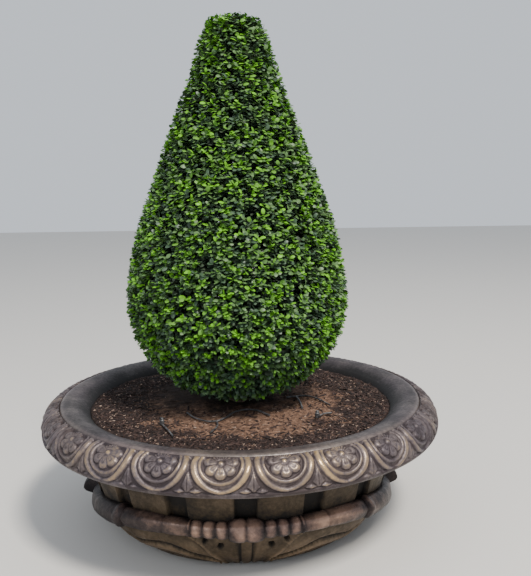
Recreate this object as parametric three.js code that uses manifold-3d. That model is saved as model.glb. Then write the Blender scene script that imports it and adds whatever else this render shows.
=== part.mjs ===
import * as THREE from 'three';
import { mergeVertices } from 'three/addons/utils/BufferGeometryUtils.js';
import Module from 'manifold-3d';

// Boxwood clipped to a teardrop, growing in a wide low bowl with a carved rim.
// Millimetres, Z up. The origin is the middle of the bowl's flat underside.
// The bowl's front, with the double bead of the garland, looks along -Y.
// Angles round the bowl start at the front and grow towards +X.

// Whole bowl
const SIDES = 48;
const GAP = 0.3;
const DEGREE = Math.PI / 180;

// Rim: a carved quarter-round band outside, a smooth lip inside, a thin edge below
const RIM_RADIUS = 760;
const RIM_WIDEST_Z = 398;
const BAND_WIDTH = 72;
const BAND_HEIGHT = 77;
const BAND_TURNS = [83, 56, 28, 0, -15];
const CREST_RADIUS = 676;
const CREST_Z = 479;
const CREST_EDGE = [687, 475];
const GROOVE = [693, 466];
const LIP_DIP = 6;
const LIP_LEAN = 8;
const LIP_RISE = 18;
const LIP_RUN = 46;
const LIP_STEPS = 3;
const EDGE_DROP = 7;
const UNDERSIDE = [640, 352];
const SEAT_RADIUS = 620;

// Bowl wall and foot
const WALL_TOP_Z = 345;
const WALL_TOP_RADIUS = 608;
const WALL_TOP_INNER = 566;
const FOOT_RADIUS = 430;
const FLOOR = 60;
const WALL_OUTLINE = [
  [FOOT_RADIUS, 0], [462, 16], [500, 49], [530, 86], [547, 124], [566, 184], [WALL_TOP_RADIUS, WALL_TOP_Z],
];
const CAVITY_OUTLINE = [[0, FLOOR], [410, FLOOR], [488, 122], [530, 230]];

// Turn of the strips, fans and garland from the front, in degrees
const WALL_TURN = -1.5;

// Recessed upright strips between the wall's flat panels
const STRIP_COUNT = 16;
const STRIP_WIDTH = 74;
const STRIP_DEPTH = 20;
const STRIP_ABOVE_GARLAND = 6;
const CUTTER_DEPTH = 120;
const CUTTER_STANDS_OUT = 20;
const CUTTER_CLEAR = 5;

// Carved half rosettes of the rim band, five petals that hang from the groove
// Each corner has its turn from straight down, in degrees, and its reach from the boss
const ROSETTE_COUNT = 24;
const ROSETTE_CORNERS = [[0, 55], [25, 45], [50, 55], [75, 45], [100, 55], [130, 20]];
const ROSETTE_LIFT = 7;
const ROSETTE_TURN = 66;
const SUNK = 5;

// Garland: beads in front and behind, long husks down to a knob on each side
const GARLAND_HIGH = 184;
const GARLAND_DROP = 78;
const GARLAND_LEVEL = 24;
const GARLAND_STANDS_OUT = 12;
const GARLAND_SIDES = 6;
const KNOB_STANDS_OUT = 50;
const PIECE_GROOVE = 0.03;
const HALF_DOUBLE_BEAD = { span: 5.6, radii: [32, 39, 30], standsOut: GARLAND_STANDS_OUT };
const SMALL_BEAD = { span: 4, radii: [20, 29], standsOut: GARLAND_STANDS_OUT };
const HUSKS = [
  { span: 9.4, radii: [26, 28, 25], standsOut: GARLAND_STANDS_OUT },
  { span: 17.7, radii: [29, 31, 28], standsOut: GARLAND_STANDS_OUT },
  { span: 41.7, radii: [37, 37, 27], standsOut: GARLAND_STANDS_OUT },
];
const KNOB_HALF = { span: 3.6, radii: [30, 38], standsOut: KNOB_STANDS_OUT };

// Leaf ribs on the lower bowl, fanned out from four places at its foot
// Each station of a rib has its share of the way up, of the width and of the lift
const FAN_COUNT = 4;
const FAN_RIBS = [
  { spread: -36, belowGarland: 95 },
  { spread: -20, belowGarland: 50 },
  { spread: 0, belowGarland: 50 },
  { spread: 20, belowGarland: 50 },
  { spread: 36, belowGarland: 95 },
];
const RIB_FOOT_SPREAD = 0.2;
const RIB_FOOT_Z = 10;
const RIB_WIDTH = 38;
const RIB_LIFT = 10;
const RIB_STATIONS = [[0, 0.35, 1], [0.5, 1, 1], [1, 1, 0.1]];
const SLOPE_STEP = 4;

// Soil, mounded a little towards the stem
const SOIL_RADIUS = 578;
const SOIL_EDGE_Z = 441;
const SOIL_MOUND = 14;

// Stem inside the shrub's foot
const STEM_HEIGHT = 340;
const STEM_LEAN = 10;
const STEM_SIDES = 10;
const STEM_FLUTES = 5;
const STEM_FLUTING = 0.14;
const FLUTED_RINGS = 2;
const STEM_RINGS = [[0, 62], [0.06, 47], [0.16, 36], [0.5, 30], [1, 20]];

// Clipped crown: its outline, the solid core under its skin and the twigs that reach the skin
const CROWN_TOP = 1903;
const CROWN_OFFSET_X = -7;
const CROWN_OUTLINE = [
  [60, 470], [190, 499], [285, 560], [362, 650], [408, 745], [424, 850], [414, 960], [377, 1130],
  [306, 1330], [232, 1530], [168, 1700], [138, 1800], [104, 1861], [60, 1893], [0, CROWN_TOP],
];
const CORE_DEPTH = 36;
const CORE_SIDES = 20;
const CORE_RINGS = 14;
const CORE_FOOT_SPARE = 0.6;
const SKIN_ROWS = 400;
const SKIN_SPARE = 1;
const ROW_REACH = 4;
const TWIG_COUNT = 84;
const TWIG_ROOT = 22;
const TWIG_LENGTH = 52;
const TWIG_RADIUS = 7;
const TWIG_TIP_RADIUS = 4.5;
const TWIG_STRAY = 0.3;
const TWIG_WANDER = 0.5;
const TWIG_CLIMB = 0.12;
const LEAF_PLACES = [0.56, 0.76, 0.96];
const LEAF_LENGTH = 112;
const LEAF_WIDTH = 68;
const LEAF_THICKNESS = 3;
const LEAF_ROOT = 0.025;
const LEAF_TILT = 0.3;
const SMALLEST_LEAF = 0.8;
const LEAF_SIZE_RANGE = 0.35;
const LEAST_RISE = 0.3;
const RISE_RANGE = 0.6;
const RISE_STEP = 0.12;
const FLATTEST_RISE = -0.2;
const GROWTH_SEED = 20;

// Drip line on the mulch, seen from above, and its two drippers with their tails
const TUBE_RADIUS = 3.2;
const TUBE_HALF_SIDES = 4;
const TUBE_STEP = 28;
const FEWEST_STEPS = 4;
const TUBE_JOIN = 8.6;
const FRONT_ROUTE = [
  [-208, -180], [-170, -251], [-112, -288], [-70, -256], [-23, -188], [34, -178], [92, -246],
];
const BRANCH_SHARE = 0.42;
const BRANCH_ROUTE = [[-98, -330], [-122, -394]];
const RIGHT_ROUTE = [[176, -38], [209, -27], [262, -22], [300, -72], [331, -142]];
const SHORT_SHARE = 0.2;
const SHORT_ROUTE = [[222, -100], [221, -171]];
const DRIPPER_RADIUS = 9;
const DRIPPER_TOP_RADIUS = 6.3;
const DRIPPER_SIDES = 8;
const DRIPPER_HEIGHT = 26;
const LEFT_DRIPPER = { place: [-293, -286], tail: [[-266, -358], [-248, -412]] };
const RIGHT_DRIPPER = { place: [262, -271], tail: [[294, -240], [320, -232]] };

// Surfaces
const PANEL_BRONZE = { color: 0x3f382f, roughness: 0.6 };
const RIM_BRONZE = { color: 0x4a3f38, roughness: 0.5 };
const WORN_BRONZE = { color: 0x5a4540, roughness: 0.5 };
const MULCH = { color: 0x3b2a20, roughness: 0.95 };
const BARK = { color: 0x5e5142, roughness: 0.9 };
const FOLIAGE = { color: 0x2f5a1c, roughness: 0.6 };
const BLACK_PLASTIC = { color: 0x17181a, roughness: 0.5 };

const wasm = await Module();
wasm.setup();

// Solids and meshes

function signedVolume(positions, index) {
  const a = new THREE.Vector3();
  const b = new THREE.Vector3();
  const c = new THREE.Vector3();
  let volume = 0;
  for (let i = 0; i < index.length; i += 3) {
    a.fromArray(positions, 3 * index[i]);
    b.fromArray(positions, 3 * index[i + 1]);
    c.fromArray(positions, 3 * index[i + 2]);
    volume += a.dot(b.cross(c)) / 6;
  }
  return volume;
}

// A closed geometry as a solid whose faces point out
function solidOf(geometry) {
  const bare = geometry.clone();
  bare.deleteAttribute('normal');
  bare.deleteAttribute('uv');
  const merged = mergeVertices(bare, 1e-3);
  const positions = merged.attributes.position.array;
  const triangles = [];
  for (let i = 0; i < merged.index.count; i += 3) {
    const corners = [0, 1, 2].map((k) => merged.index.getX(i + k));
    if (new Set(corners).size === 3) {
      triangles.push(...corners);
    }
  }
  if (signedVolume(positions, triangles) < 0) {
    triangles.reverse();
  }
  const mesh = new wasm.Mesh({
    numProp: 3,
    vertProperties: new Float32Array(positions),
    triVerts: new Uint32Array(triangles),
  });
  return new wasm.Manifold(mesh);
}

function geometryOf(solid) {
  const mesh = solid.getMesh();
  const geometry = new THREE.BufferGeometry();
  geometry.setAttribute('position', new THREE.BufferAttribute(new Float32Array(mesh.vertProperties), 3));
  geometry.setIndex(new THREE.BufferAttribute(new Uint32Array(mesh.triVerts), 1));
  return geometry;
}

function joinAll(solids) {
  if (solids.length === 1) {
    return solids[0];
  }
  const middle = Math.floor(solids.length / 2);
  return joinAll(solids.slice(0, middle)).add(joinAll(solids.slice(middle)));
}

// The largest closed body, without loose scraps and with sealed hollows filled
function mainBody(solid) {
  const bodies = solid.decompose();
  bodies.sort((first, second) => second.volume() - first.volume());
  return bodies[0];
}

function revolve(outline, sides = SIDES) {
  const points = outline.map(([radius, z]) => new THREE.Vector2(radius, z));
  return new THREE.LatheGeometry(points, sides).rotateX(Math.PI / 2);
}

// A skin over rings of points, closed on itself or capped at both ends
function loft(rings, endless = false) {
  const count = rings[0].length;
  const corner = (ring, point) => (ring % rings.length) * count + (point % count);
  const index = [];
  const spans = endless ? rings.length : rings.length - 1;
  for (let ring = 0; ring < spans; ring += 1) {
    for (let point = 0; point < count; point += 1) {
      const a = corner(ring, point);
      const b = corner(ring + 1, point);
      const c = corner(ring + 1, point + 1);
      const d = corner(ring, point + 1);
      index.push(a, b, c, a, c, d);
    }
  }
  if (!endless) {
    for (let point = 1; point < count - 1; point += 1) {
      index.push(0, point, point + 1);
      index.push(corner(spans, 0), corner(spans, point + 1), corner(spans, point));
    }
  }
  const geometry = new THREE.BufferGeometry().setFromPoints(rings.flat());
  geometry.setIndex(index);
  return geometry;
}

// A flat-bottomed cone over one ring of points
function cone(ring, tip) {
  const index = [];
  ring.forEach((point, number) => {
    const next = (number + 1) % ring.length;
    index.push(number, next, ring.length);
    if (number > 0 && next > 0) {
      index.push(0, next, number);
    }
  });
  const geometry = new THREE.BufferGeometry().setFromPoints([...ring, tip]);
  geometry.setIndex(index);
  return geometry;
}

function around(angle, radius, z) {
  return new THREE.Vector3(radius * Math.sin(angle), -radius * Math.cos(angle), z);
}

function smoothStep(value) {
  const t = Math.min(Math.max(value, 0), 1);
  return t * t * (3 - 2 * t);
}

// Value at a place in a list of [value, place] rows whose places rise
function valueAt(rows, place) {
  let upper = 1;
  while (upper < rows.length - 1 && rows[upper][1] < place) {
    upper += 1;
  }
  const [low, lowPlace] = rows[upper - 1];
  const [high, highPlace] = rows[upper];
  return low + ((high - low) * (place - lowPlace)) / (highPlace - lowPlace);
}

function wallRadius(z) {
  return valueAt(WALL_OUTLINE, z);
}

// Planter: garland

function garlandHeight(angle) {
  const fromFront = Math.abs(((angle / DEGREE - WALL_TURN + 450) % 180) - 90);
  const drop = smoothStep((fromFront - GARLAND_LEVEL) / (90 - GARLAND_LEVEL));
  return GARLAND_HIGH - GARLAND_DROP * drop;
}

// Stations of one quarter of the garland, from the double bead to the knob
function garlandQuarter() {
  const stations = [];
  let place = 0;
  for (const piece of [HALF_DOUBLE_BEAD, SMALL_BEAD, SMALL_BEAD, SMALL_BEAD, ...HUSKS, KNOB_HALF]) {
    piece.radii.forEach((radius, number) => {
      const share = number / Math.max(piece.radii.length - 1, 1);
      const along = piece === SMALL_BEAD ? 0.5 * number : share * (1 - PIECE_GROOVE);
      stations.push({ place: place + piece.span * along, radius, standsOut: piece.standsOut });
    });
    place += piece.span;
  }
  return stations.map((station) => ({ ...station, place: (station.place * 90) / place }));
}

function garlandStations() {
  const quarter = garlandQuarter();
  const inner = quarter.slice(1);
  const mirrored = inner.map((station) => ({ ...station, place: 180 - station.place })).reverse();
  const half = [quarter[0], ...inner, ...mirrored];
  const turned = half.map((station) => ({ ...station, place: station.place + 180 }));
  return [...half, ...turned];
}

function garlandRing(station) {
  const angle = (station.place + WALL_TURN) * DEGREE;
  const z = garlandHeight(angle);
  const centre = wallRadius(z) + station.standsOut;
  const ring = [];
  for (let side = 0; side < GARLAND_SIDES; side += 1) {
    const turn = ((side + 0.5) / GARLAND_SIDES) * 2 * Math.PI;
    ring.push(around(angle, centre + station.radius * Math.cos(turn), z + station.radius * Math.sin(turn)));
  }
  return ring;
}

function makeGarland() {
  const stations = garlandStations();
  const tube = solidOf(loft(stations.map(garlandRing), true));
  const clearWall = WALL_OUTLINE.map(([radius, z]) => [radius + GAP, z]);
  const wall = solidOf(revolve([[0, 0], ...clearWall, [0, WALL_TOP_Z]]));
  return mainBody(tube.subtract(wall));
}

// Planter: bowl

function stripCutter(angle) {
  const low = garlandHeight(angle) + STRIP_ABOVE_GARLAND;
  const high = WALL_TOP_Z + GAP;
  const middle = WALL_TOP_RADIUS + CUTTER_STANDS_OUT - CUTTER_DEPTH / 2;
  const box = new THREE.BoxGeometry(STRIP_WIDTH, CUTTER_DEPTH, high - low);
  box.translate(0, -middle, (low + high) / 2);
  box.rotateZ(angle);
  return solidOf(box);
}

// A point of the wall with its outward normal and the level direction along it
function wallFrame(angle, z) {
  const at = around(angle, wallRadius(z), z);
  const lower = around(angle, wallRadius(z - SLOPE_STEP), z - SLOPE_STEP);
  const outward = around(angle, 1, 0);
  const upward = at.clone().sub(lower).normalize();
  const sideways = new THREE.Vector3().crossVectors(outward, upward).normalize();
  const normal = new THREE.Vector3().crossVectors(upward, sideways).normalize();
  return { at, normal, sideways };
}

// A three-sided rib that follows the wall from the foot up and away to one side
function makeRib(fanAngle, spread, belowGarland) {
  const top = garlandHeight(fanAngle + spread) - belowGarland;
  const rings = RIB_STATIONS.map(([share, widthShare, liftShare]) => {
    const angle = fanAngle + spread * (RIB_FOOT_SPREAD + (1 - RIB_FOOT_SPREAD) * share);
    const z = RIB_FOOT_Z + (top - RIB_FOOT_Z) * share;
    const { at, normal, sideways } = wallFrame(angle, z);
    const half = (RIB_WIDTH / 2) * widthShare;
    return [
      at.clone().addScaledVector(sideways, -half).addScaledVector(normal, -SUNK),
      at.clone().addScaledVector(normal, RIB_LIFT * liftShare),
      at.clone().addScaledVector(sideways, half).addScaledVector(normal, -SUNK),
    ];
  });
  return solidOf(loft(rings));
}

function makeBowl() {
  const outside = WALL_OUTLINE.slice(0, -1);
  const rimSeat = [[WALL_TOP_RADIUS, WALL_TOP_Z - GAP], [WALL_TOP_INNER, WALL_TOP_Z - GAP]];
  const inside = CAVITY_OUTLINE.toReversed();
  const body = solidOf(revolve([[0, 0], ...outside, ...rimSeat, ...inside]));
  const ribs = [];
  for (let fan = 0; fan < FAN_COUNT; fan += 1) {
    const fanAngle = (fan * 2 * Math.PI) / FAN_COUNT + WALL_TURN * DEGREE;
    for (const { spread, belowGarland } of FAN_RIBS) {
      ribs.push(makeRib(fanAngle, spread * DEGREE, belowGarland));
    }
  }
  const cutters = [];
  for (let strip = 0; strip < STRIP_COUNT; strip += 1) {
    cutters.push(stripCutter((strip * 2 * Math.PI) / STRIP_COUNT + WALL_TURN * DEGREE));
  }
  const kept = WALL_OUTLINE.map(([radius, z]) => [radius - STRIP_DEPTH, z]);
  const [keptRadius, keptZ] = kept.at(-1);
  const above = keptZ + CUTTER_CLEAR;
  const heart = solidOf(revolve([[0, -CUTTER_CLEAR], ...kept, [keptRadius, above], [0, above]]));
  const recesses = joinAll(cutters).subtract(heart);
  return mainBody(body.add(joinAll(ribs)).subtract(recesses));
}

// Planter: rim with its rosettes

// A point of the band, its turn measured in degrees up from the widest ring
function bandPoint(angle, turn, lift) {
  const across = Math.cos(turn * DEGREE);
  const up = Math.sin(turn * DEGREE);
  const out = new THREE.Vector2(across / BAND_WIDTH, up / BAND_HEIGHT).normalize();
  const radius = RIM_RADIUS - BAND_WIDTH + BAND_WIDTH * across + lift * out.x;
  return around(angle, radius, RIM_WIDEST_Z + BAND_HEIGHT * up + lift * out.y);
}

// A half rosette as one scalloped cone, with its top at the boss
function makeRosette(angle) {
  const [lowest, ...others] = ROSETTE_CORNERS;
  const mirrored = others.map(([turn, reach]) => [-turn, reach]).reverse();
  const base = [lowest, ...others, ...mirrored].map(([turn, reach]) => {
    const across = (reach * Math.sin(turn * DEGREE)) / RIM_RADIUS;
    const down = (reach * Math.cos(turn * DEGREE)) / (BAND_HEIGHT * DEGREE);
    return bandPoint(angle + across, ROSETTE_TURN - down, -SUNK);
  });
  return solidOf(cone(base, bandPoint(angle, ROSETTE_TURN, ROSETTE_LIFT)));
}

function rimOutline() {
  const lip = new THREE.CubicBezierCurve(
    new THREE.Vector2(SOIL_RADIUS, SOIL_EDGE_Z - LIP_DIP),
    new THREE.Vector2(SOIL_RADIUS + LIP_LEAN, SOIL_EDGE_Z + LIP_RISE),
    new THREE.Vector2(CREST_RADIUS - LIP_RUN, CREST_Z),
    new THREE.Vector2(CREST_RADIUS, CREST_Z),
  );
  const rows = [[SOIL_RADIUS, WALL_TOP_Z]];
  for (const point of lip.getPoints(LIP_STEPS)) {
    rows.push([point.x, point.y]);
  }
  rows.push(CREST_EDGE);
  rows.push(GROOVE);
  for (const turn of BAND_TURNS) {
    const point = bandPoint(0, turn, 0);
    rows.push([-point.y, point.z]);
  }
  const [edgeRadius, edgeZ] = rows.at(-1);
  rows.push([edgeRadius - EDGE_DROP, edgeZ - EDGE_DROP]);
  rows.push(UNDERSIDE);
  rows.push([SEAT_RADIUS, WALL_TOP_Z]);
  rows.push(rows[0]);
  return rows;
}

function makeRim() {
  const carvings = [];
  for (let number = 0; number < ROSETTE_COUNT; number += 1) {
    carvings.push(makeRosette(((number + 0.5) * 2 * Math.PI) / ROSETTE_COUNT));
  }
  return mainBody(solidOf(revolve(rimOutline())).add(joinAll(carvings)));
}

// Soil and drip line

function soilHeight(radius) {
  return SOIL_EDGE_Z + SOIL_MOUND * (1 - radius / SOIL_RADIUS);
}

function flatCurve(route) {
  const points = route.map(([x, y]) => new THREE.Vector3(x, y, 0));
  return new THREE.CatmullRomCurve3(points, false, 'centripetal');
}

// A point a short way from another one, towards a third
function pointTowards([x, y], [toX, toY], reach) {
  const share = reach / Math.hypot(toX - x, toY - y);
  return [x + (toX - x) * share, y + (toY - y) * share];
}

// The route of a side tube that leaves another one part of the way along it
function sideRoute(mainRoute, share, route) {
  const fork = flatCurve(mainRoute).getPointAt(share);
  return [pointTowards([fork.x, fork.y], route[0], TUBE_JOIN), ...route];
}

function tailRoute(dripper) {
  return [pointTowards(dripper.place, dripper.tail[0], DRIPPER_RADIUS + 2 * GAP), ...dripper.tail];
}

// A tube that lies on the soil all along its route
function makeTube(route) {
  const flat = flatCurve(route);
  const steps = Math.max(FEWEST_STEPS, Math.round(flat.getLength() / TUBE_STEP));
  const points = flat.getSpacedPoints(2 * steps);
  for (const point of points) {
    point.z = soilHeight(Math.hypot(point.x, point.y)) + TUBE_RADIUS + GAP;
  }
  const section = new THREE.Shape();
  section.absarc(0, 0, TUBE_RADIUS, 0, 2 * Math.PI);
  const path = new THREE.CatmullRomCurve3(points);
  const settings = { steps, extrudePath: path, curveSegments: TUBE_HALF_SIDES };
  return solidOf(new THREE.ExtrudeGeometry(section, settings));
}

function makeDripper([x, y]) {
  const foot = soilHeight(Math.hypot(x, y)) + GAP;
  const body = new THREE.CylinderGeometry(
    DRIPPER_TOP_RADIUS,
    DRIPPER_RADIUS,
    DRIPPER_HEIGHT,
    DRIPPER_SIDES,
  );
  body.rotateX(Math.PI / 2);
  body.translate(x, y, foot + DRIPPER_HEIGHT / 2);
  return solidOf(body);
}

function makeSoil() {
  const cavity = CAVITY_OUTLINE.map(([radius, z]) => [Math.max(radius - GAP, 0), z + GAP]);
  const wall = [[WALL_TOP_INNER - GAP, WALL_TOP_Z], [SOIL_RADIUS - GAP, WALL_TOP_Z]];
  const top = [[SOIL_RADIUS - GAP, soilHeight(SOIL_RADIUS)], [0, soilHeight(0)]];
  return solidOf(revolve([...cavity, ...wall, ...top]));
}

// Stem

// The stem, or with some spare all round, the space that the crown leaves for it
function makeStem(spare) {
  const foot = soilHeight(0) + GAP;
  const rings = STEM_RINGS.map(([share, size], number) => {
    const ring = [];
    for (let side = 0; side < STEM_SIDES; side += 1) {
      const turn = (side / STEM_SIDES) * 2 * Math.PI;
      const fluted = number < FLUTED_RINGS ? 1 + STEM_FLUTING * Math.cos(turn * STEM_FLUTES) : 1;
      const radius = size * fluted + spare;
      const x = CROWN_OFFSET_X + STEM_LEAN * share + radius * Math.cos(turn);
      const z = foot + STEM_HEIGHT * share + (number === STEM_RINGS.length - 1 ? spare : 0);
      ring.push(new THREE.Vector3(x, radius * Math.sin(turn), z));
    }
    return ring;
  });
  return solidOf(loft(rings));
}

// Crown

// Numbers from 0 to 1 that come in the same order for the same seed
function seeded(seed) {
  let state = seed;
  return () => {
    state = (state + 0x6d2b79f5) | 0;
    let mixed = Math.imul(state ^ (state >>> 15), state | 1);
    mixed ^= mixed + Math.imul(mixed ^ (mixed >>> 7), mixed | 61);
    return ((mixed ^ (mixed >>> 14)) >>> 0) / 4294967296;
  };
}

function crownCurve() {
  return new THREE.SplineCurve(CROWN_OUTLINE.map(([radius, z]) => new THREE.Vector2(radius, z)));
}

// Evenly spaced rows over the crown's skin: radius, height, outward normal, area below
function crownRows(curve, count) {
  const rows = [];
  let area = 0;
  let last = curve.getPointAt(0);
  for (let number = 0; number <= count; number += 1) {
    const at = curve.getPointAt(number / count);
    const along = curve.getTangentAt(number / count);
    area += Math.PI * (at.x + last.x) * at.distanceTo(last);
    rows.push({ radius: Math.max(at.x, 0), z: at.y, out: along.y, up: -along.x, area });
    last = at;
  }
  return rows;
}

function insideCrown(point, rows) {
  const radius = Math.hypot(point.x - CROWN_OFFSET_X, point.y);
  return rows.some((row) => Math.abs(row.z - point.z) < ROW_REACH && radius < row.radius + SKIN_SPARE);
}

function makeCore(curve) {
  const rows = crownRows(curve, CORE_RINGS);
  const outline = rows.map((row) => [
    Math.max(row.radius - CORE_DEPTH * row.out, 0),
    row.z - CORE_DEPTH * row.up,
  ]);
  const first = outline[0];
  outline[0] = [first[0] + CORE_DEPTH * CORE_FOOT_SPARE, first[1]];
  outline[outline.length - 1] = [0, CROWN_TOP - CORE_DEPTH];
  return solidOf(revolve([[0, outline[0][1]], ...outline], CORE_SIDES).translate(CROWN_OFFSET_X, 0, 0));
}

// A three-sided twig, tapering from its root to its blunt tip
function makeTwig(root, direction, sideways) {
  const across = new THREE.Vector3().crossVectors(direction, sideways).normalize();
  const rings = [[0, TWIG_RADIUS], [TWIG_LENGTH, TWIG_TIP_RADIUS]].map(([reach, radius]) => {
    const centre = root.clone().addScaledVector(direction, reach);
    return [0, 1, 2].map((corner) => {
      const turn = (corner * 2 * Math.PI) / 3;
      const offset = across.clone().applyAxisAngle(direction, turn).multiplyScalar(radius);
      return offset.add(centre);
    });
  });
  return solidOf(loft(rings));
}

// A flat eight-faced leaf whose root is sunk in its twig
function makeLeaf(root, direction, face, size) {
  const leaf = new THREE.OctahedronGeometry(0.5);
  leaf.scale(LEAF_WIDTH * size, LEAF_LENGTH * size, LEAF_THICKNESS);
  leaf.translate(0, LEAF_LENGTH * size * (0.5 - LEAF_ROOT), 0);
  const across = new THREE.Vector3().crossVectors(direction, face).normalize();
  const normal = new THREE.Vector3().crossVectors(across, direction);
  leaf.applyMatrix4(new THREE.Matrix4().makeBasis(across, direction, normal));
  return leaf.translate(root.x, root.y, root.z);
}

function leafFits(leaf, rows) {
  const corners = leaf.attributes.position;
  const corner = new THREE.Vector3();
  for (let number = 0; number < corners.count; number += 1) {
    if (!insideCrown(corner.fromBufferAttribute(corners, number), rows)) {
      return false;
    }
  }
  return true;
}

// The leaf held up at its full rise, or lower until it stays under the skin
function growLeaf(from, spread, normal, face, size, fullRise, rows) {
  for (let rise = fullRise; rise > FLATTEST_RISE; rise -= RISE_STEP) {
    const heading = spread.clone().addScaledVector(normal, rise).normalize();
    const leaf = makeLeaf(from, heading, face, size);
    if (leafFits(leaf, rows)) {
      return leaf;
    }
  }
  return null;
}

// Twigs spread evenly over the skin by the golden angle, each with three leaves
function growTwigs(curve) {
  const random = seeded(GROWTH_SEED);
  const rows = crownRows(curve, SKIN_ROWS);
  const whole = rows.at(-1).area;
  const goldenAngle = Math.PI * (3 - Math.sqrt(5));
  const pieces = [];
  for (let number = 0; number < TWIG_COUNT; number += 1) {
    const row = rows.find((candidate) => candidate.area >= (whole * (number + 0.5)) / TWIG_COUNT);
    const angle = number * goldenAngle + TWIG_STRAY * (random() - 0.5);
    const outward = around(angle, 1, 0);
    const level = around(angle + Math.PI / 2, 1, 0);
    const normal = outward.clone().multiplyScalar(row.out).setZ(row.up).normalize();
    const skin = outward.clone().multiplyScalar(row.radius).setZ(row.z);
    skin.x += CROWN_OFFSET_X;
    const root = skin.clone().addScaledVector(normal, -(CORE_DEPTH + TWIG_ROOT));
    const sideways = new THREE.Vector3().crossVectors(normal, level).normalize();
    const direction = normal.clone();
    direction.addScaledVector(sideways, TWIG_WANDER * (random() - 0.5));
    direction.addScaledVector(level, TWIG_WANDER * (random() - 0.5));
    direction.z += TWIG_CLIMB;
    direction.normalize();
    pieces.push(makeTwig(root, direction, sideways));
    const roll = random() * Math.PI;
    LEAF_PLACES.forEach((share, leafNumber) => {
      const from = root.clone().addScaledVector(direction, TWIG_LENGTH * share);
      const spread = sideways.clone().applyAxisAngle(normal, roll + leafNumber * goldenAngle);
      const face = normal.clone().addScaledVector(spread, LEAF_TILT * (random() - 0.5)).normalize();
      const size = SMALLEST_LEAF + LEAF_SIZE_RANGE * random();
      const rise = LEAST_RISE + RISE_RANGE * random();
      const leaf = growLeaf(from, spread, normal, face, size, rise, rows);
      if (leaf !== null) {
        pieces.push(solidOf(leaf));
      }
    });
  }
  return pieces;
}

function makeCrown() {
  const curve = crownCurve();
  const leafy = makeCore(curve).add(joinAll(growTwigs(curve)));
  return mainBody(leafy.subtract(makeStem(GAP)));
}

// Assembly

const topiary = new THREE.Group();

function place(name, solid, surface) {
  const mesh = new THREE.Mesh(geometryOf(solid), new THREE.MeshStandardMaterial(surface));
  mesh.name = name;
  topiary.add(mesh);
}

const tubeRoutes = {
  drip_tube_front: FRONT_ROUTE,
  drip_tube_branch: sideRoute(FRONT_ROUTE, BRANCH_SHARE, BRANCH_ROUTE),
  drip_tube_right: RIGHT_ROUTE,
  drip_tube_short: sideRoute(RIGHT_ROUTE, SHORT_SHARE, SHORT_ROUTE),
  dripper_tail_left: tailRoute(LEFT_DRIPPER),
  dripper_tail_right: tailRoute(RIGHT_DRIPPER),
};

place('planter_bowl', makeBowl(), PANEL_BRONZE);
place('planter_rim', makeRim(), RIM_BRONZE);
place('planter_garland', makeGarland(), WORN_BRONZE);
for (const [name, route] of Object.entries(tubeRoutes)) {
  place(name, makeTube(route), BLACK_PLASTIC);
}
place('dripper_left', makeDripper(LEFT_DRIPPER.place), BLACK_PLASTIC);
place('dripper_right', makeDripper(RIGHT_DRIPPER.place), BLACK_PLASTIC);
place('soil', makeSoil(), MULCH);
place('stem', makeStem(0), BARK);
place('crown', makeCrown(), FOLIAGE);

export default topiary;
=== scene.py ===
# %% [markdown]
# Potted boxwood, clipped to a teardrop, in a wide carved bowl.
# The frame that is loaded first holds the plain solids of the object at their true size.
# Every finished piece is made in that same frame, in metres, with Z up and the bowl's
# underside at zero. The bowl's front, with the double bead of the garland, looks along -Y,
# give or take the degree and a half by which the wall is turned against the rim.

# %% Load the frame
from itertools import product

import bpy
import numpy as np
from mathutils import Matrix, Vector


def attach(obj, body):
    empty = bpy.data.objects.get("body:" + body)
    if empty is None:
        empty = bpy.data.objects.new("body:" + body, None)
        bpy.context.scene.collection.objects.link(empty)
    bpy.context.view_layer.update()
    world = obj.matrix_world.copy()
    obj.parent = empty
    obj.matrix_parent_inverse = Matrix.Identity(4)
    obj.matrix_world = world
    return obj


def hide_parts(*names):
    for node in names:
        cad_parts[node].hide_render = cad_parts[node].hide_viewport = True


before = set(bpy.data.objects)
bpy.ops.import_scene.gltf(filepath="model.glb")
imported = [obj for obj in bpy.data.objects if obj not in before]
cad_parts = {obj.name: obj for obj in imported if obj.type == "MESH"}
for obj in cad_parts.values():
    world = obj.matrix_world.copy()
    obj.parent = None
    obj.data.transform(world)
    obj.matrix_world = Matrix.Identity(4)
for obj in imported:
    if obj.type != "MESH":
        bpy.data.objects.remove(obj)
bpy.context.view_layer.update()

MM = 0.001
SEED = 20
print("solids", sorted(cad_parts))


def add_object(name, data):
    thing = bpy.data.objects.new(name, data)
    bpy.context.collection.objects.link(thing)
    return thing


def pick(thing):
    """Selects one object alone, as the next command's subject."""
    bpy.ops.object.select_all(action="DESELECT")
    thing.select_set(True)
    bpy.context.view_layer.objects.active = thing


# %% [markdown]
# The camera stands where the photographer stood: about 2.7 m from the middle of the bowl and
# 1.26 m above the terrace, looking slightly down. The place was worked out from the rings
# of the bowl, whose ellipses tell the height and distance of the lens. A camera looks down
# its own -Z, so it is rolled first, then tilted up from the ground, then turned to its heading.

# %% Camera
CAMERA_PLACE = Vector((-0.118, -2.694, 1.262))
CAMERA_YAW = -0.0811
CAMERA_PITCH = 0.1391
CAMERA_ROLL = -0.0097
CAMERA_LENS = 43.91

camera = add_object("camera", bpy.data.cameras.new("camera"))
heading = Matrix.Rotation(CAMERA_YAW, 4, "Z")
tilt = Matrix.Rotation(np.pi / 2 - CAMERA_PITCH, 4, "X")
roll = Matrix.Rotation(CAMERA_ROLL, 4, "Z")
camera.matrix_world = Matrix.Translation(CAMERA_PLACE) @ heading @ tilt @ roll
camera.data.lens = CAMERA_LENS
bpy.context.scene.camera = camera
print("camera stands at", tuple(round(value, 3) for value in CAMERA_PLACE))

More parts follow.
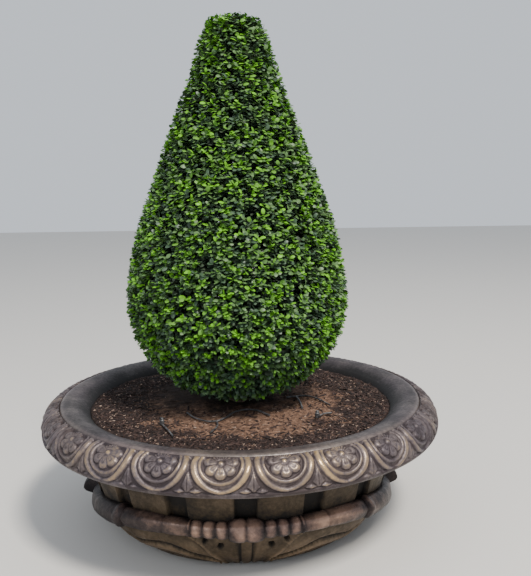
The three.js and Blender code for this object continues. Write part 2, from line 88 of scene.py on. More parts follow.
# %% [markdown]
# The studio is a pale floor, a pale sky all round and two soft lamps. The strong lamp hangs
# high in front, a little to the right, where the sun stood, and a weak wide one fills the left.
# Area lamps give soft shadows, so the carving reads without hard black edges.

# %% Floor, sky and lamps
FLOOR_SIZE = 40
FLOOR_COLOUR = (0.62, 0.6, 0.57, 1)
SKY_COLOUR = (0.86, 0.92, 1.0, 1)
SKY_STRENGTH = 0.85


def add_lamp(name, place, target, size, power, colour):
    """A square soft lamp that points at a place."""
    lamp = add_object(name, bpy.data.lights.new(name, "AREA"))
    lamp.location = place
    lamp.rotation_euler = (Vector(target) - Vector(place)).to_track_quat("-Z", "Y").to_euler()
    lamp.data.size = size
    lamp.data.energy = power
    lamp.data.color = colour


bpy.ops.object.select_all(action="DESELECT")
bpy.ops.mesh.primitive_plane_add(size=FLOOR_SIZE, location=(0, 0, 0))
floor = bpy.context.object
floor.name = "floor"
floor_paint = bpy.data.materials.new("pale_floor")
floor_paint.use_nodes = True
floor_shader = floor_paint.node_tree.nodes["Principled BSDF"]
floor_shader.inputs["Base Color"].default_value = FLOOR_COLOUR
floor_shader.inputs["Roughness"].default_value = 0.9
floor.data.materials.append(floor_paint)

world = bpy.data.worlds.new("studio_sky")
world.use_nodes = True
sky = world.node_tree.nodes["Background"]
sky.inputs["Color"].default_value = SKY_COLOUR
sky.inputs["Strength"].default_value = SKY_STRENGTH
bpy.context.scene.world = world
add_lamp("sun_side", (2.8, -5.2, 9.3), (0, 0, 0.8), size=2.0, power=1710, colour=(1.0, 0.95, 0.87))
add_lamp("fill_side", (-3.6, -3.6, 2.8), (0, 0, 0.6), size=3.0, power=50, colour=(0.92, 0.96, 1.0))
print("studio ready")

# %% [markdown]
# Helpers that several pieces share. Angles round the bowl start at its front and grow
# towards +X, and lengths in the shape rules are millimetres, as on a maker's drawing.
# Each piece is a mesh at the origin whose points hold its place.

# %% Reading and setting the points of a piece
DEGREE = np.pi / 180


def points_of(piece):
    """The points of a mesh as rows of x, y and z, in millimetres."""
    rows = np.empty(len(piece.data.vertices) * 3)
    piece.data.vertices.foreach_get("co", rows)
    return rows.reshape(-1, 3) / MM


def set_points(piece, points):
    piece.data.vertices.foreach_set("co", (points * MM).ravel())
    piece.data.update()


def around(angle, radius, height):
    """Points at an angle round the bowl's axis."""
    x, y, z = np.broadcast_arrays(radius * np.sin(angle), -radius * np.cos(angle), height)
    return np.stack([x, y, z], axis=-1)


def angle_and_radius(points):
    return np.arctan2(points[:, 0], -points[:, 1]), np.hypot(points[:, 0], points[:, 1])


def unit(vectors):
    return vectors / np.linalg.norm(vectors, axis=-1, keepdims=True)


# %% Soft steps, domes and ridges
def smooth_step(value):
    """From 0 to 1 while the value goes from 0 to 1, level at both ends."""
    share = np.clip(value, 0, 1)
    return share * share * (3 - 2 * share)


def dome(share):
    """Round over from 1 in the middle to 0 at the edge."""
    return np.sqrt(np.clip(1 - share * share, 0, 1))


def ridge(distance, middle, half_width):
    share = np.clip(np.abs(distance - middle) / half_width, 0, 1)
    return (1 - share * share) ** 1.5


def bell(distance, half_width):
    """1 at no distance, and soon nothing beyond the half width."""
    return np.exp(-((distance / half_width) ** 2))


def bent(start, end, leaving, arriving, share):
    """Points of a curve between two ends with the directions in which it leaves and arrives."""
    back = 1 - share
    ends = start * (1 + 2 * share) * back**2 + end * share**2 * (3 - 2 * share)
    return ends + leaving * share * back**2 - arriving * share**2 * back


# %% Chance numbers that vary smoothly from place to place
LATTICE = 24


def clouds(points, size, seed):
    """Numbers from -1 to 1 over the points, in soft lumps of about that size."""
    lattice = np.random.default_rng(seed).uniform(-1, 1, (LATTICE, LATTICE, LATTICE))
    scaled = points / size
    corner = np.floor(scaled).astype(int)
    share = smooth_step(scaled - corner)
    total = np.zeros(len(points))
    for step in product((0, 1), repeat=3):
        weight = np.prod(np.where(step, share, 1 - share), axis=1)
        x, y, z = ((corner + step) % LATTICE).T
        total += weight * lattice[x, y, z]
    return total


def six_round(rule, reach):
    """The mean of a rule at six steps, this far to all sides of each place."""
    turns = np.arange(6) * np.pi / 3
    return sum(rule(reach * np.cos(turn), reach * np.sin(turn)) for turn in turns) / 6


# %% Turning an outline round the bowl's axis
MERGE_DISTANCE = 1e-5


def turned_piece(name, outline, steps, closed=True):
    """A mesh made by turning an outline of (radius, height) points once round Z."""
    bpy.ops.object.select_all(action="DESELECT")
    bpy.ops.mesh.primitive_circle_add(vertices=len(outline), radius=1)
    piece = bpy.context.object
    piece.name = name
    for vertex, (radius, height) in zip(piece.data.vertices, outline):
        vertex.co = (0, -radius * MM, height * MM)
    if not closed:
        bpy.ops.object.mode_set(mode="EDIT")
        bpy.ops.mesh.select_mode(type="EDGE")
        bpy.ops.mesh.select_all(action="DESELECT")
        bpy.ops.object.mode_set(mode="OBJECT")
        for edge in piece.data.edges:
            edge.select = set(edge.vertices) == {0, len(outline) - 1}
        bpy.ops.object.mode_set(mode="EDIT")
        bpy.ops.mesh.delete(type="EDGE")
        bpy.ops.object.mode_set(mode="OBJECT")
    turn = piece.modifiers.new("turn", "SCREW")
    turn.steps = steps
    turn.render_steps = steps
    turn.use_merge_vertices = True
    turn.merge_threshold = MERGE_DISTANCE
    bpy.ops.object.modifier_apply(modifier=turn.name)
    bpy.ops.object.mode_set(mode="EDIT")
    bpy.ops.mesh.select_all(action="SELECT")
    bpy.ops.mesh.remove_doubles(threshold=MERGE_DISTANCE)
    bpy.ops.mesh.normals_make_consistent(inside=False)
    bpy.ops.object.mode_set(mode="OBJECT")
    return piece


# %% Finishing a piece
def finish_piece(piece, paint, slot, *nodes):
    """Gives a piece its paint and its body, and hides the solids it stands for. The slot is not used."""
    piece.data.materials.clear()
    piece.data.materials.append(paint)
    piece.data.shade_smooth()
    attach(piece, "root")
    if nodes:
        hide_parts(*nodes)
    piece.data.calc_loop_triangles()
    print(piece.name, "triangles", len(piece.data.loop_triangles))
    return piece


# %% [markdown]
# The bowl is cast stone with an aged bronze finish: dark brown in the hollows, a browner
# middle tone, and a worn golden or coppery tone where hands and weather rub the crests.
# The carving rules below know how high each point stands and so how worn it is, and they add
# painted shade in folds, hollows and under the carving and painted highlights where the light
# falls, and each point keeps all that as one number. The paint reads it through an Attribute node,
# blends the three tones with a ramp, and breaks the edges up with noise, as a brushed finish has.

# %% Small parts of a paint
def new_paint(name, roughness, specular=0.5):
    paint = bpy.data.materials.new(name)
    paint.use_nodes = True
    shader = paint.node_tree.nodes["Principled BSDF"]
    shader.inputs["Roughness"].default_value = roughness
    shader.inputs["Specular IOR Level"].default_value = specular
    return paint, paint.node_tree, shader


def add_node(tree, kind, output, inputs, **settings):
    """One output of a new node, whose inputs are plain values or outputs of other nodes."""
    node = tree.nodes.new("ShaderNode" + kind)
    for name, value in settings.items():
        setattr(node, name, value)
    for socket, value in inputs.items():
        if isinstance(value, bpy.types.NodeSocket):
            tree.links.new(value, node.inputs[socket])
        else:
            node.inputs[socket].default_value = value
    return node.outputs[output]


def place_on_object(tree, shift=(0, 0, 0), stretch=(1, 1, 1)):
    place = add_node(tree, "TexCoord", "Object", {})
    return add_node(tree, "Mapping", "Vector", {"Vector": place, "Location": shift, "Scale": stretch})


def noise(tree, scale, detail=4, roughness=0.6, stretch=(1, 1, 1)):
    """A noise pattern fixed to the object."""
    place = place_on_object(tree, stretch=stretch)
    inputs = {"Vector": place, "Scale": scale, "Detail": detail, "Roughness": roughness}
    return add_node(tree, "TexNoise", "Fac", inputs)


def added(tree, first, second):
    return add_node(tree, "Math", "Value", {0: first, 1: second}, operation="ADD")


def ramp(tree, value, stops):
    """A colour ramp over (place, colour) stops."""
    node = tree.nodes.new("ShaderNodeValToRGB")
    while len(node.color_ramp.elements) < len(stops):
        node.color_ramp.elements.new(0.5)
    for element, (place, colour) in zip(node.color_ramp.elements, stops):
        element.position = place
        element.color = (*colour, 1)
    tree.links.new(value, node.inputs["Fac"])
    return node.outputs["Color"]


def mixed(tree, share, first, second, blend="MIX"):
    """Two colours mixed by a share, each a colour or another node's output."""
    first, second = ((*value, 1) if isinstance(value, tuple) else value for value in (first, second))
    return add_node(tree, "Mix", 2, {0: share, 6: first, 7: second}, data_type="RGBA", blend_type=blend)


def spread(tree, value, low, high, new_low, new_high):
    """Stretches one range of values onto another."""
    inputs = {"Value": value, "From Min": low, "From Max": high, "To Min": new_low, "To Max": new_high}
    return add_node(tree, "MapRange", "Result", inputs)


def bumped(tree, shader, height, strength, depth):
    inputs = {"Height": height, "Strength": strength, "Distance": depth}
    tree.links.new(add_node(tree, "Bump", "Normal", inputs), shader.inputs["Normal"])


def grained_paint(name, dull, specular, grain, stops, bump=None):
    """A paint whose colour follows a noise pattern, which may also roughen its surface."""
    paint, tree, shader = new_paint(name, dull, specular)
    pattern = noise(tree, **grain)
    tree.links.new(ramp(tree, pattern, stops), shader.inputs["Base Color"])
    if bump:
        bumped(tree, shader, pattern, *bump)
    return paint


# %% The aged bronze finish
WORN_SHARE = 0.4
SPECKLED = 0.17


def bronze_paint(name, hollow, middle, crest, tint, roughness, specular, patchy=0.2, metal=0.0):
    """Three tones by the stored wear and painted light of each point, shifted towards a tint in broad soft
    patches, polished on the crests.
    """
    paint, tree, shader = new_paint(name, roughness, specular)
    shader.inputs["Metallic"].default_value = metal
    # The stored number holds wear together with painted shade and painted highlights.
    wear_and_painted_light = add_node(tree, "Attribute", "Fac", {}, attribute_name="wear_and_painted_light")
    speckle = noise(tree, scale=85, detail=6, roughness=0.7)
    worn_and_lit = added(tree, wear_and_painted_light, spread(tree, speckle, 0.3, 0.7, -SPECKLED, SPECKLED))
    worn_and_lit = added(tree, worn_and_lit, spread(tree, noise(tree, scale=11), 0.35, 0.65, -patchy, patchy))
    worn = tuple((1 - WORN_SHARE) * low + WORN_SHARE * high for low, high in zip(middle, crest))
    tones = ramp(tree, worn_and_lit, [(0.04, hollow), (0.4, middle), (0.7, worn), (0.98, crest)])
    tinted = mixed(tree, 1.0, tones, tint, blend="MULTIPLY")
    tinted_share = spread(tree, noise(tree, scale=6, detail=3, roughness=0.5), 0.4, 0.62, 0, 0.7)
    tree.links.new(mixed(tree, tinted_share, tones, tinted), shader.inputs["Base Color"])
    dull_to_bright = spread(tree, worn_and_lit, 0.1, 0.9, roughness + 0.25, roughness - 0.08)
    tree.links.new(dull_to_bright, shader.inputs["Roughness"])
    grain = added(tree, noise(tree, scale=160), noise(tree, scale=38, detail=3, roughness=0.5))
    bumped(tree, shader, grain, strength=0.35, depth=0.002)
    return paint


RIM_BRONZE = bronze_paint(
    "rim_bronze", hollow=(0.043, 0.030, 0.030), middle=(0.122, 0.096, 0.092), crest=(0.50, 0.335, 0.160),
    tint=(0.78, 0.82, 1.0), roughness=0.32, specular=0.46, metal=0.45,
)
LIP_BRONZE = bronze_paint(
    "lip_bronze", hollow=(0.007, 0.006, 0.006), middle=(0.038, 0.031, 0.031), crest=(0.175, 0.14, 0.122),
    tint=(0.88, 0.82, 0.95), roughness=0.4, specular=0.4, patchy=0.1, metal=0.2,
)
WALL_BRONZE = bronze_paint(
    "wall_bronze", hollow=(0.007, 0.0055, 0.005), middle=(0.039, 0.0265, 0.014), crest=(0.145, 0.1, 0.06),
    tint=(0.9, 0.85, 0.8), roughness=0.5, specular=0.28,
)
GARLAND_BRONZE = bronze_paint(
    "garland_bronze", hollow=(0.009, 0.006, 0.007), middle=(0.045, 0.030, 0.027), crest=(0.34, 0.215, 0.158),
    tint=(0.85, 0.85, 0.95), roughness=0.3, specular=0.32, patchy=0.16, metal=0.3,
)


def set_wear_and_painted_light(piece, values):
    """Keeps for each point of a piece its tone, from 0 for dirt and painted shade to 1 for bare crests and
    painted highlights.
    """
    wear_and_painted_light = piece.data.attributes.new("wear_and_painted_light", "FLOAT", "POINT")
    wear_and_painted_light.data.foreach_set("value", np.clip(values, 0, 1))


# %% [markdown]
# The rim carries a quarter-round band with twenty-four medallions. On the real bowl a
# modeller pressed the same flower, two U-shaped ridges and a leaf dart between them all
# round the mould. It could be built from hundreds of small parts that cut into each other,
# but a casting has soft joints, so here one finely divided ring is turned first and then
# raised and cut point by point by a height rule, which is how a modeller works in clay.
# Places on the band are u, along the ring from a medallion's middle, and down, along the
# section from the groove under the lip. Round a flower, v is down from the flower's middle.

# %% The rim's section
RIM_RADIUS = 760
RIM_WIDEST_Z = 398
BAND_WIDTH = 72
BAND_HEIGHT = 77
BAND_TOP_TURN = 86
BAND_LOW_TURN = -15
BAND_ROWS = 51
GROOVE = (692, 463)
SEAT_Z = 345
UNDERSIDE = [(751, 371), (744, 366), (700, 359), (640, 352), (620, 345)]
BAND_HEART = [(612, 345.5), (640, 400), (676, 446)]
MEDALLIONS = 24
COLUMNS = 68


def band_place(turn):
    """Radius and height on the band, at a turn in degrees up from its widest ring."""
    radius = RIM_RADIUS - BAND_WIDTH + BAND_WIDTH * np.cos(turn * DEGREE)
    return radius, RIM_WIDEST_Z + BAND_HEIGHT * np.sin(turn * DEGREE)


fine_turns = np.linspace(BAND_TOP_TURN, BAND_LOW_TURN, 800)
fine_radius, fine_height = band_place(fine_turns)
fine_steps = np.hypot(np.diff(fine_radius), np.diff(fine_height))
first_down = np.hypot(fine_radius[0] - GROOVE[0], fine_height[0] - GROOVE[1])
fine_down = first_down + np.append(0, np.cumsum(fine_steps))
row_turns = np.interp(np.linspace(fine_down[0], fine_down[-1], BAND_ROWS), fine_down, fine_turns)
band_outline = [GROOVE, *zip(*band_place(row_turns)), *UNDERSIDE, *BAND_HEART]
print("band section points", len(band_outline), "length down", round(fine_down[-1], 1))

# %% Height rules of one medallion
MEDALLION_HALF = 98
CENTRE_DOWN = 36
PETAL_TURNS = [0, 50, -50, 100, -100]
PETAL_START, PETAL_REACH = 9, 38
PETAL_NECK, PETAL_TIP = 10, 18.5
PETAL_LIFT = 9.5
DIMPLE_DEPTH = 3
BOSS_LIFT, BOSS_RADIUS = 10, 11.5
FAN_LIFT = 7
FAN_START, FAN_RADIUS = 12, 40
FAN_RIBS = 21.6
RIB_LIFT = 1.4
FLOWER_EDGE = 57
INNER_RIDGE = [FLOWER_EDGE, 60, 64, 69, 75, 84]
INNER_LIFT = [0, 2, 7.4, 7.2, 2.6, 1]
OUTER_RIDGE = 94.5
OUTER_LIFT = 9
DART_START = 93
DART_DOWN = [66, 84, 114, 133]
DART_HALVES = [1, 7, 20, 0.5]
DART_LIFT = 6.5
LOZENGE_LIFT = 9
GROUND = -9
STRIP_DOWN = 138
STRIP_LIFT = 7.5
SLIDES = (3, 12)


def petal_height(u, v, turn):
    """A petal with a broad neck and a ball-like tip that has a dimple."""
    along = v * np.cos(turn * DEGREE) + u * np.sin(turn * DEGREE)
    across = u * np.cos(turn * DEGREE) - v * np.sin(turn * DEGREE)
    grown = np.clip((along - PETAL_START) / (PETAL_REACH - PETAL_START), 0, 1)
    half = PETAL_NECK + (PETAL_TIP - PETAL_NECK) * grown
    beyond = np.maximum(along - PETAL_REACH, 0)
    height = PETAL_LIFT * dome(np.hypot(across, beyond) / half) ** 0.75 * (0.6 + 0.4 * grown)
    dimple = DIMPLE_DEPTH * np.exp(-((along - PETAL_REACH + 3) ** 2 + 0.5 * across**2) / 20)
    return np.where(along > PETAL_START, np.maximum(height - dimple, 0), 0)


def flower_height(u, v):
    """Five petals round a boss, on a fan whose fine ribs run out between and along them."""
    petals = [petal_height(u, v, turn) for turn in PETAL_TURNS]
    distance = np.hypot(u, v)
    boss = BOSS_LIFT * dome(distance / BOSS_RADIUS)
    ribs = RIB_LIFT * np.cos(FAN_RIBS * np.arctan2(u, v)) * smooth_step((distance - FAN_START) / 8)
    groove = 4 * bell(distance - FAN_START - 1, 3)
    fan = (FAN_LIFT + ribs) * smooth_step((FAN_RADIUS - distance) / 6) - groove
    return np.maximum(np.maximum(np.max(petals, axis=0), boss), fan)


def dart_height(u, down):
    """The rounded leaf between two medallions, and the two lozenges at its foot."""
    across = MEDALLION_HALF - np.abs(u)
    half = np.interp(down, DART_DOWN, DART_HALVES)
    on_leaf = (down > DART_DOWN[0]) & (down < DART_DOWN[-1])
    leaf = DART_LIFT * dome(across / half) ** 0.7 * on_leaf - 2 * bell(across, 2)
    reach = np.abs(across - 24) / 22 + np.abs(down - 129) / 9
    beside_leaf = across > (130 - down) * 1.1 + 2
    lozenge = LOZENGE_LIFT * np.clip(1 - reach, 0, 1) ** 0.4 * beside_leaf
    return np.maximum(np.maximum(leaf, lozenge), 0)


def medallion_slide(angle):
    """The medallions sit lower on the band towards both sides than in front and behind."""
    start, end = SLIDES
    return start + (end - start) * smooth_step((np.abs(np.sin(angle)) - 0.15) / 0.5)


def medallion_lift(u, down, slide):
    """How far the carving stands out from the plain band, which only the bosses pass, by 1 mm."""
    strip = STRIP_LIFT * smooth_step((down - STRIP_DOWN) / 2.5)
    down = down - slide
    v = down - CENTRE_DOWN
    distance = np.hypot(u, v)
    beside = np.abs(u) / np.maximum(distance, 1)
    inner = np.interp(distance, INNER_RIDGE, INNER_LIFT)
    outer = OUTER_LIFT * dome((distance - OUTER_RIDGE + 10.5 * beside) / (6.5 + 5.5 * beside))
    flower = np.where(distance < FLOWER_EDGE, flower_height(u, v), 0)
    height = np.maximum(np.maximum(inner, outer), flower)
    height = np.where(distance > DART_START, np.maximum(height, dart_height(u, down)), height)
    return GROUND + np.maximum(height, strip)


# %% Wear, painted shade and painted light on the medallions
WEAR_LOW, RIDGE_WEAR_AND_HIGHLIGHT = 0.20, 0.44
EDGE_WEAR_AND_FOLD_SHADE = 0.13
RING_PAINTED_LIGHT = 0.12
HOLLOW_PAINTED_SHADE = 0.14
FLOWER_PAINTED_SHADE = 0.09
RIGHT_PAINTED_LIGHT = 0.014
UNDERSIDE_PAINTED_SHADE = 0.22
SHADED_STRIP_TONE = 0.12


def band_tone(u, down, slide, lift):
    """Wear and a painted highlight where the carving stands over what is beside it, painted light between
    the ridges and on slopes facing right, painted shade in its folds, round the flower and underneath.
    """
    def near(across, along):
        return medallion_lift(u + across, down + along, slide)

    height = lift - GROUND
    v = down - slide - CENTRE_DOWN
    distance = np.hypot(u, v)
    # Wear on the crests with a painted highlight along their tops, lighter edges, and painted shade in the
    # folds.
    tone = WEAR_LOW + RIDGE_WEAR_AND_HIGHLIGHT * (height / OUTER_LIFT) ** 3 + EDGE_WEAR_AND_FOLD_SHADE * (lift - six_round(near, 5))
    # Painted light in the groove between the inner and outer ridges.
    tone += RING_PAINTED_LIGHT * smooth_step((distance - 63) / 6) * smooth_step((96 - distance) / 6)
    # Painted shade in the low hollows round the flower, and over the whole flower.
    tone -= HOLLOW_PAINTED_SHADE * (distance < 63) * smooth_step((3 - height) / 3)
    tone -= FLOWER_PAINTED_SHADE * (distance < FLOWER_EDGE)
    # A painted highlight on the slopes that face right, towards the light.
    tone -= RIGHT_PAINTED_LIGHT * (near(3, 0) - near(-3, 0))
    # Painted shade on the lower part of each medallion, under the flower.
    below = smooth_step((v / np.maximum(distance, 1) - 0.45) / 0.5) * (distance > FLOWER_EDGE)
    # The plain strip under the band gets a low tone as painted shade, since it faces down.
    return np.where(down > STRIP_DOWN, SHADED_STRIP_TONE, tone * (1 - UNDERSIDE_PAINTED_SHADE * below))


# %% Turn and carve the rim band
FRONT_HIGHLIGHT_UP_TO = 62


def carve_band(piece):
    points = points_of(piece)
    angle, radius = angle_and_radius(points)
    out = (radius - (RIM_RADIUS - BAND_WIDTH)) / BAND_WIDTH
    rise = (points[:, 2] - RIM_WIDEST_Z) / BAND_HEIGHT
    on_band = np.abs(np.hypot(out, rise) - 1) < 1e-3
    turn = np.degrees(np.arctan2(rise, out))
    down = np.interp(-turn, -fine_turns, fine_down)
    pitch = 2 * np.pi / MEDALLIONS
    u = ((angle / pitch) % 1 - 0.5) * 2 * MEDALLION_HALF
    slide = medallion_slide(angle)
    carved = medallion_lift(u, down, slide)
    shown = np.clip((down - fine_down[0]) / 6, 0, 1)
    lift = np.where(on_band, carved * shown + 0.35 * (clouds(points, 14, 3) - 1), 0)
    normal = unit(np.stack([out / BAND_WIDTH, rise / BAND_HEIGHT], axis=1))
    height = points[:, 2] + lift * normal[:, 1]
    set_points(piece, around(angle, radius + lift * normal[:, 0], height))
    # A painted highlight: the band's tone is full in front and falls to half at the sides and back.
    front_highlight = 0.5 + 0.5 * smooth_step((FRONT_HIGHLIGHT_UP_TO - np.abs(np.degrees(angle))) / 45)
    set_wear_and_painted_light(piece, np.where(on_band, band_tone(u, down, slide, carved) * front_highlight, WEAR_LOW))


rim_band = turned_piece("rim_band", band_outline, MEDALLIONS * COLUMNS)
carve_band(rim_band)
finish_piece(rim_band, RIM_BRONZE, "planter", "planter_rim")

# %% [markdown]
# Inside the groove the rim rolls over in a smooth lip and falls to the soil. Nothing is
# carved there, so its outline is turned as a plain ring with a rounded crest. A few broad
# hollows, about a millimetre deep, keep its reflection as uneven as a hand-finished cast.

# %% The smooth lip
LIP_STEPS = 360
LIP_SAG = 0.8
LIP_LOW = 455
LIP_WEAR = 0.44
LIP_PATCHES = 0.12
LIP_EDGE = (685, 12, 0.25)
LIP_FRONT_HIGHLIGHT = 0.4
LIP_INSIDE = (635, 50, 0.5)
LIP_CREST = [(692, 463), (690.5, 468), (688, 473), (683, 477), (676, 479), (668, 479.4)]
LIP_CURVE = [(668, 479.4), (636, 479), (592, 462), (577.8, 432)]
LIP_HEART = [(577.8, 400), (577.8, 345.5), (612, 345.5), (640, 400), (676, 446)]


def curve_points(handles, count):
    """Points on a curve with four handles, its first point left out."""
    first, second, third, last = (np.array(handle, float) for handle in handles)
    share = np.linspace(0, 1, count + 1)[1:, None]
    rows = bent(first, last, 3 * (second - first), 3 * (last - third), share)
    return [tuple(row) for row in rows]


lip_outline = [*LIP_CREST, *curve_points(LIP_CURVE, 22), *LIP_HEART]
rim_lip = turned_piece("rim_lip", lip_outline, LIP_STEPS)
lip_points = points_of(rim_lip)
lip_angle, lip_radius = angle_and_radius(lip_points)
lip_points[:, 2] += LIP_SAG * (clouds(lip_points, 90, 7) - 1) * (lip_points[:, 2] > LIP_LOW)
set_points(rim_lip, lip_points)
edge_radius, edge_width, edge_wear_and_painted_light = LIP_EDGE
inside_radius, inside_width, inside_shade = LIP_INSIDE
# The lip's tone: random patches, a crest lighter from wear and a painted highlight, a painted highlight on
# its front, and painted shade down its inner side towards the soil.
lip_wear_and_light = LIP_WEAR + LIP_PATCHES * clouds(lip_points, 90, 8)
lip_wear_and_light = lip_wear_and_light + edge_wear_and_painted_light * ridge(lip_radius, edge_radius, edge_width)
lip_wear_and_light += LIP_FRONT_HIGHLIGHT * np.clip(np.cos(lip_angle) - 0.6, 0, 1) * (lip_radius > 640)
set_wear_and_painted_light(rim_lip, lip_wear_and_light - inside_shade * np.clip((inside_radius - lip_radius) / inside_width, 0, 1))
finish_piece(rim_lip, LIP_BRONZE, "planter", "planter_rim")

# %% [markdown]
# The wall under the rim has flat olive-brown panels between sixteen recessed strips, which are
# painted nearly black as the shade in them. Under the garland, four fans of broad ribbed leaves
# spread up from the foot, with drilled eyes on both sides of their stems. Like the band, the wall
# is one turned mesh that is carved by height rules, because strips, leaves and wall are one casting.

# %% The wall's section
WALL_POINTS = [[430, 0], [462, 16], [500, 49], [530, 86], [547, 124], [566, 184], [608, 345]]
WALL_POINTS = np.array(WALL_POINTS, float)
WALL_ROWS = 66
FOOT_ROWS = [2, 5, 9]
WALL_COLUMNS = 1152
FLOOR_AND_INSIDE = [(566, 344.5), (530, 230), (488, 122), (410, 60), (0, 60)]
UNDERSIDE_POINTS = [(0, 0), (300, 0), (426, 0)]


def smooth_wall(count):
    """The wall's outline as a smooth curve, with its rows closer together low down."""
    steps = np.hypot(*np.diff(WALL_POINTS, axis=0).T)
    length = np.append(0, np.cumsum(steps))
    slope = np.gradient(WALL_POINTS, length, axis=0)
    wanted = length[-1] * np.linspace(0, 1, count) ** 1.35
    wanted[1:4] = FOOT_ROWS
    wanted = np.sort(wanted)
    row = np.clip(np.searchsorted(length, wanted, side="right") - 1, 0, len(steps) - 1)
    share = ((wanted - length[row]) / steps[row])[:, None]
    step = steps[row][:, None]
    return bent(WALL_POINTS[row], WALL_POINTS[row + 1], slope[row] * step, slope[row + 1] * step, share)


wall_rows = smooth_wall(WALL_ROWS)
print("wall rows", len(wall_rows), "radius from", wall_rows[0][0], "to", wall_rows[-1][0])


def wall_radius(height):
    return np.interp(height, wall_rows[:, 1], wall_rows[:, 0])


# %% Height of the garland, which the wall's carving follows
WALL_TURN = -1.5 * DEGREE
GARLAND_HIGH = 184
GARLAND_DROP = 78
GARLAND_LEVEL = 24


def turn_from_bead(angle):
    """Degrees from the nearer double bead, in front or behind, growing with the angle."""
    return (np.degrees(angle - WALL_TURN) + 450) % 180 - 90


def garland_height(angle):
    """High in front and behind, low at both sides."""
    from_front = np.abs(turn_from_bead(angle))
    return GARLAND_HIGH - GARLAND_DROP * smooth_step((from_front - GARLAND_LEVEL) / (90 - GARLAND_LEVEL))


# %% Height rules of the wall
STRIPS = 16
STRIP_WIDTH = 74
STRIP_DEPTH = 19
FANS = 4
STEM_HALF = 1.9
STEM_LIFT = 8
LOBE_LIFTS = (6.5, 8)
ROLL_LIFT = 13
FOOT_LIFT = 7
RIDGE_LIFT = 3.2
LOBE_TOP = 150
RIDGE_LEVELS = [0, 48, 76, 100, 120, 134, 150]
RIDGE_TURNS = [7.5, 10, 11.9, 14, 16.2, 18, 20.5]
ROLL_TURNS = [10, 13, 17, 20.5, 24, 27.5, 32, 37, 42, 45]
ROLL_HIGH = [38, 48, 57, 66, 80, 90, 90, 82, 70, 66]
ROLL_LOW = [32, 39, 46, 51, 55, 60, 60, 54, 46, 44]
EYES = [(8.7, 67, 10), (14.0, 50, 8.5)]
EYE_DEPTH = 20
EYE_RADIUS = 540


def strip_depth(angle, radius, height):
    """Sixteen recesses that end just above the garland."""
    pitch = 2 * np.pi / STRIPS
    aside = np.abs(((angle - WALL_TURN) / pitch + 0.5) % 1 - 0.5) * pitch * radius
    open_above = height > garland_height(angle) + 6
    return STRIP_DEPTH * ((aside < STRIP_WIDTH / 2) & open_above)


def degrees_from_fan(angle):
    pitch = 360 / FANS
    return np.abs((np.degrees(angle - WALL_TURN) / pitch + 0.5) % 1 - 0.5) * pitch


def fan_lift(angle, height):
    """A stem, then on each side a lobe up to a ridge, a broad lobe, and a rolled leaf edge."""
    aside = degrees_from_fan(angle)
    level = LOBE_TOP * height / (garland_height(angle) - 34)
    ridge_turn = np.interp(level, RIDGE_LEVELS, RIDGE_TURNS)
    roll_high = np.interp(aside, ROLL_TURNS, ROLL_HIGH)
    roll_low = np.interp(aside, ROLL_TURNS, ROLL_LOW)
    stem = STEM_LIFT * dome(0.9 * aside / STEM_HALF)
    share = (aside - STEM_HALF) / (ridge_turn - STEM_HALF)
    first = LOBE_LIFTS[0] * smooth_step(share / 0.18) - 2 * smooth_step((share - 0.3) / 0.3)
    first += 3 * smooth_step((share - 0.75) / 0.2)
    above = level - roll_high
    second = LOBE_LIFTS[1] * smooth_step((above - 2) / 16) - 5 * smooth_step((above - 30) / 40)
    rolled = ROLL_LIFT * dome(2 * (level - roll_low) / (roll_high - roll_low) - 1) ** 0.7
    veins = ridge((0.22 * aside - 0.03 * level) % 1, 0.5, 0.2)
    foot = FOOT_LIFT * smooth_step((roll_low - 2 - level) / 12) - 2.5 * veins
    zones = [aside < STEM_HALF, share < 1, level > roll_high, level > roll_low]
    lift = np.select(zones, [stem, first, second, rolled], foot)
    on_ridge = ridge(aside, ridge_turn, 1.2) * (aside > STEM_HALF) * smooth_step(level / 30)
    return (lift + RIDGE_LIFT * on_ridge) * smooth_step(height / 12)


def eye_depth(angle, height):
    """Drilled eyes under the garland, in the lobe beside each stem."""
    depth = np.zeros_like(angle)
    for place, drop, size in EYES:
        across = (degrees_from_fan(angle) - place) * DEGREE * EYE_RADIUS
        upward = height - (garland_height(angle) - drop)
        hole = dome(np.hypot(across + 0.3 * upward, 0.75 * upward) / size) ** 0.6
        depth = np.maximum(depth, EYE_DEPTH * hole)
    return depth


# %% Turn and carve the wall
PANEL_TONE = 0.42
PANEL_PATCHES = 0.14
LEAF_TONE = 0.28
LEAF_EDGE_LIGHT_AND_SHADE, MOST_EDGE_LIGHT = 0.15, 0.12
STRIP_SHADE = 0.7
EYE_SHADE = 0.2
SHADE_OVER_GARLAND = 0.3


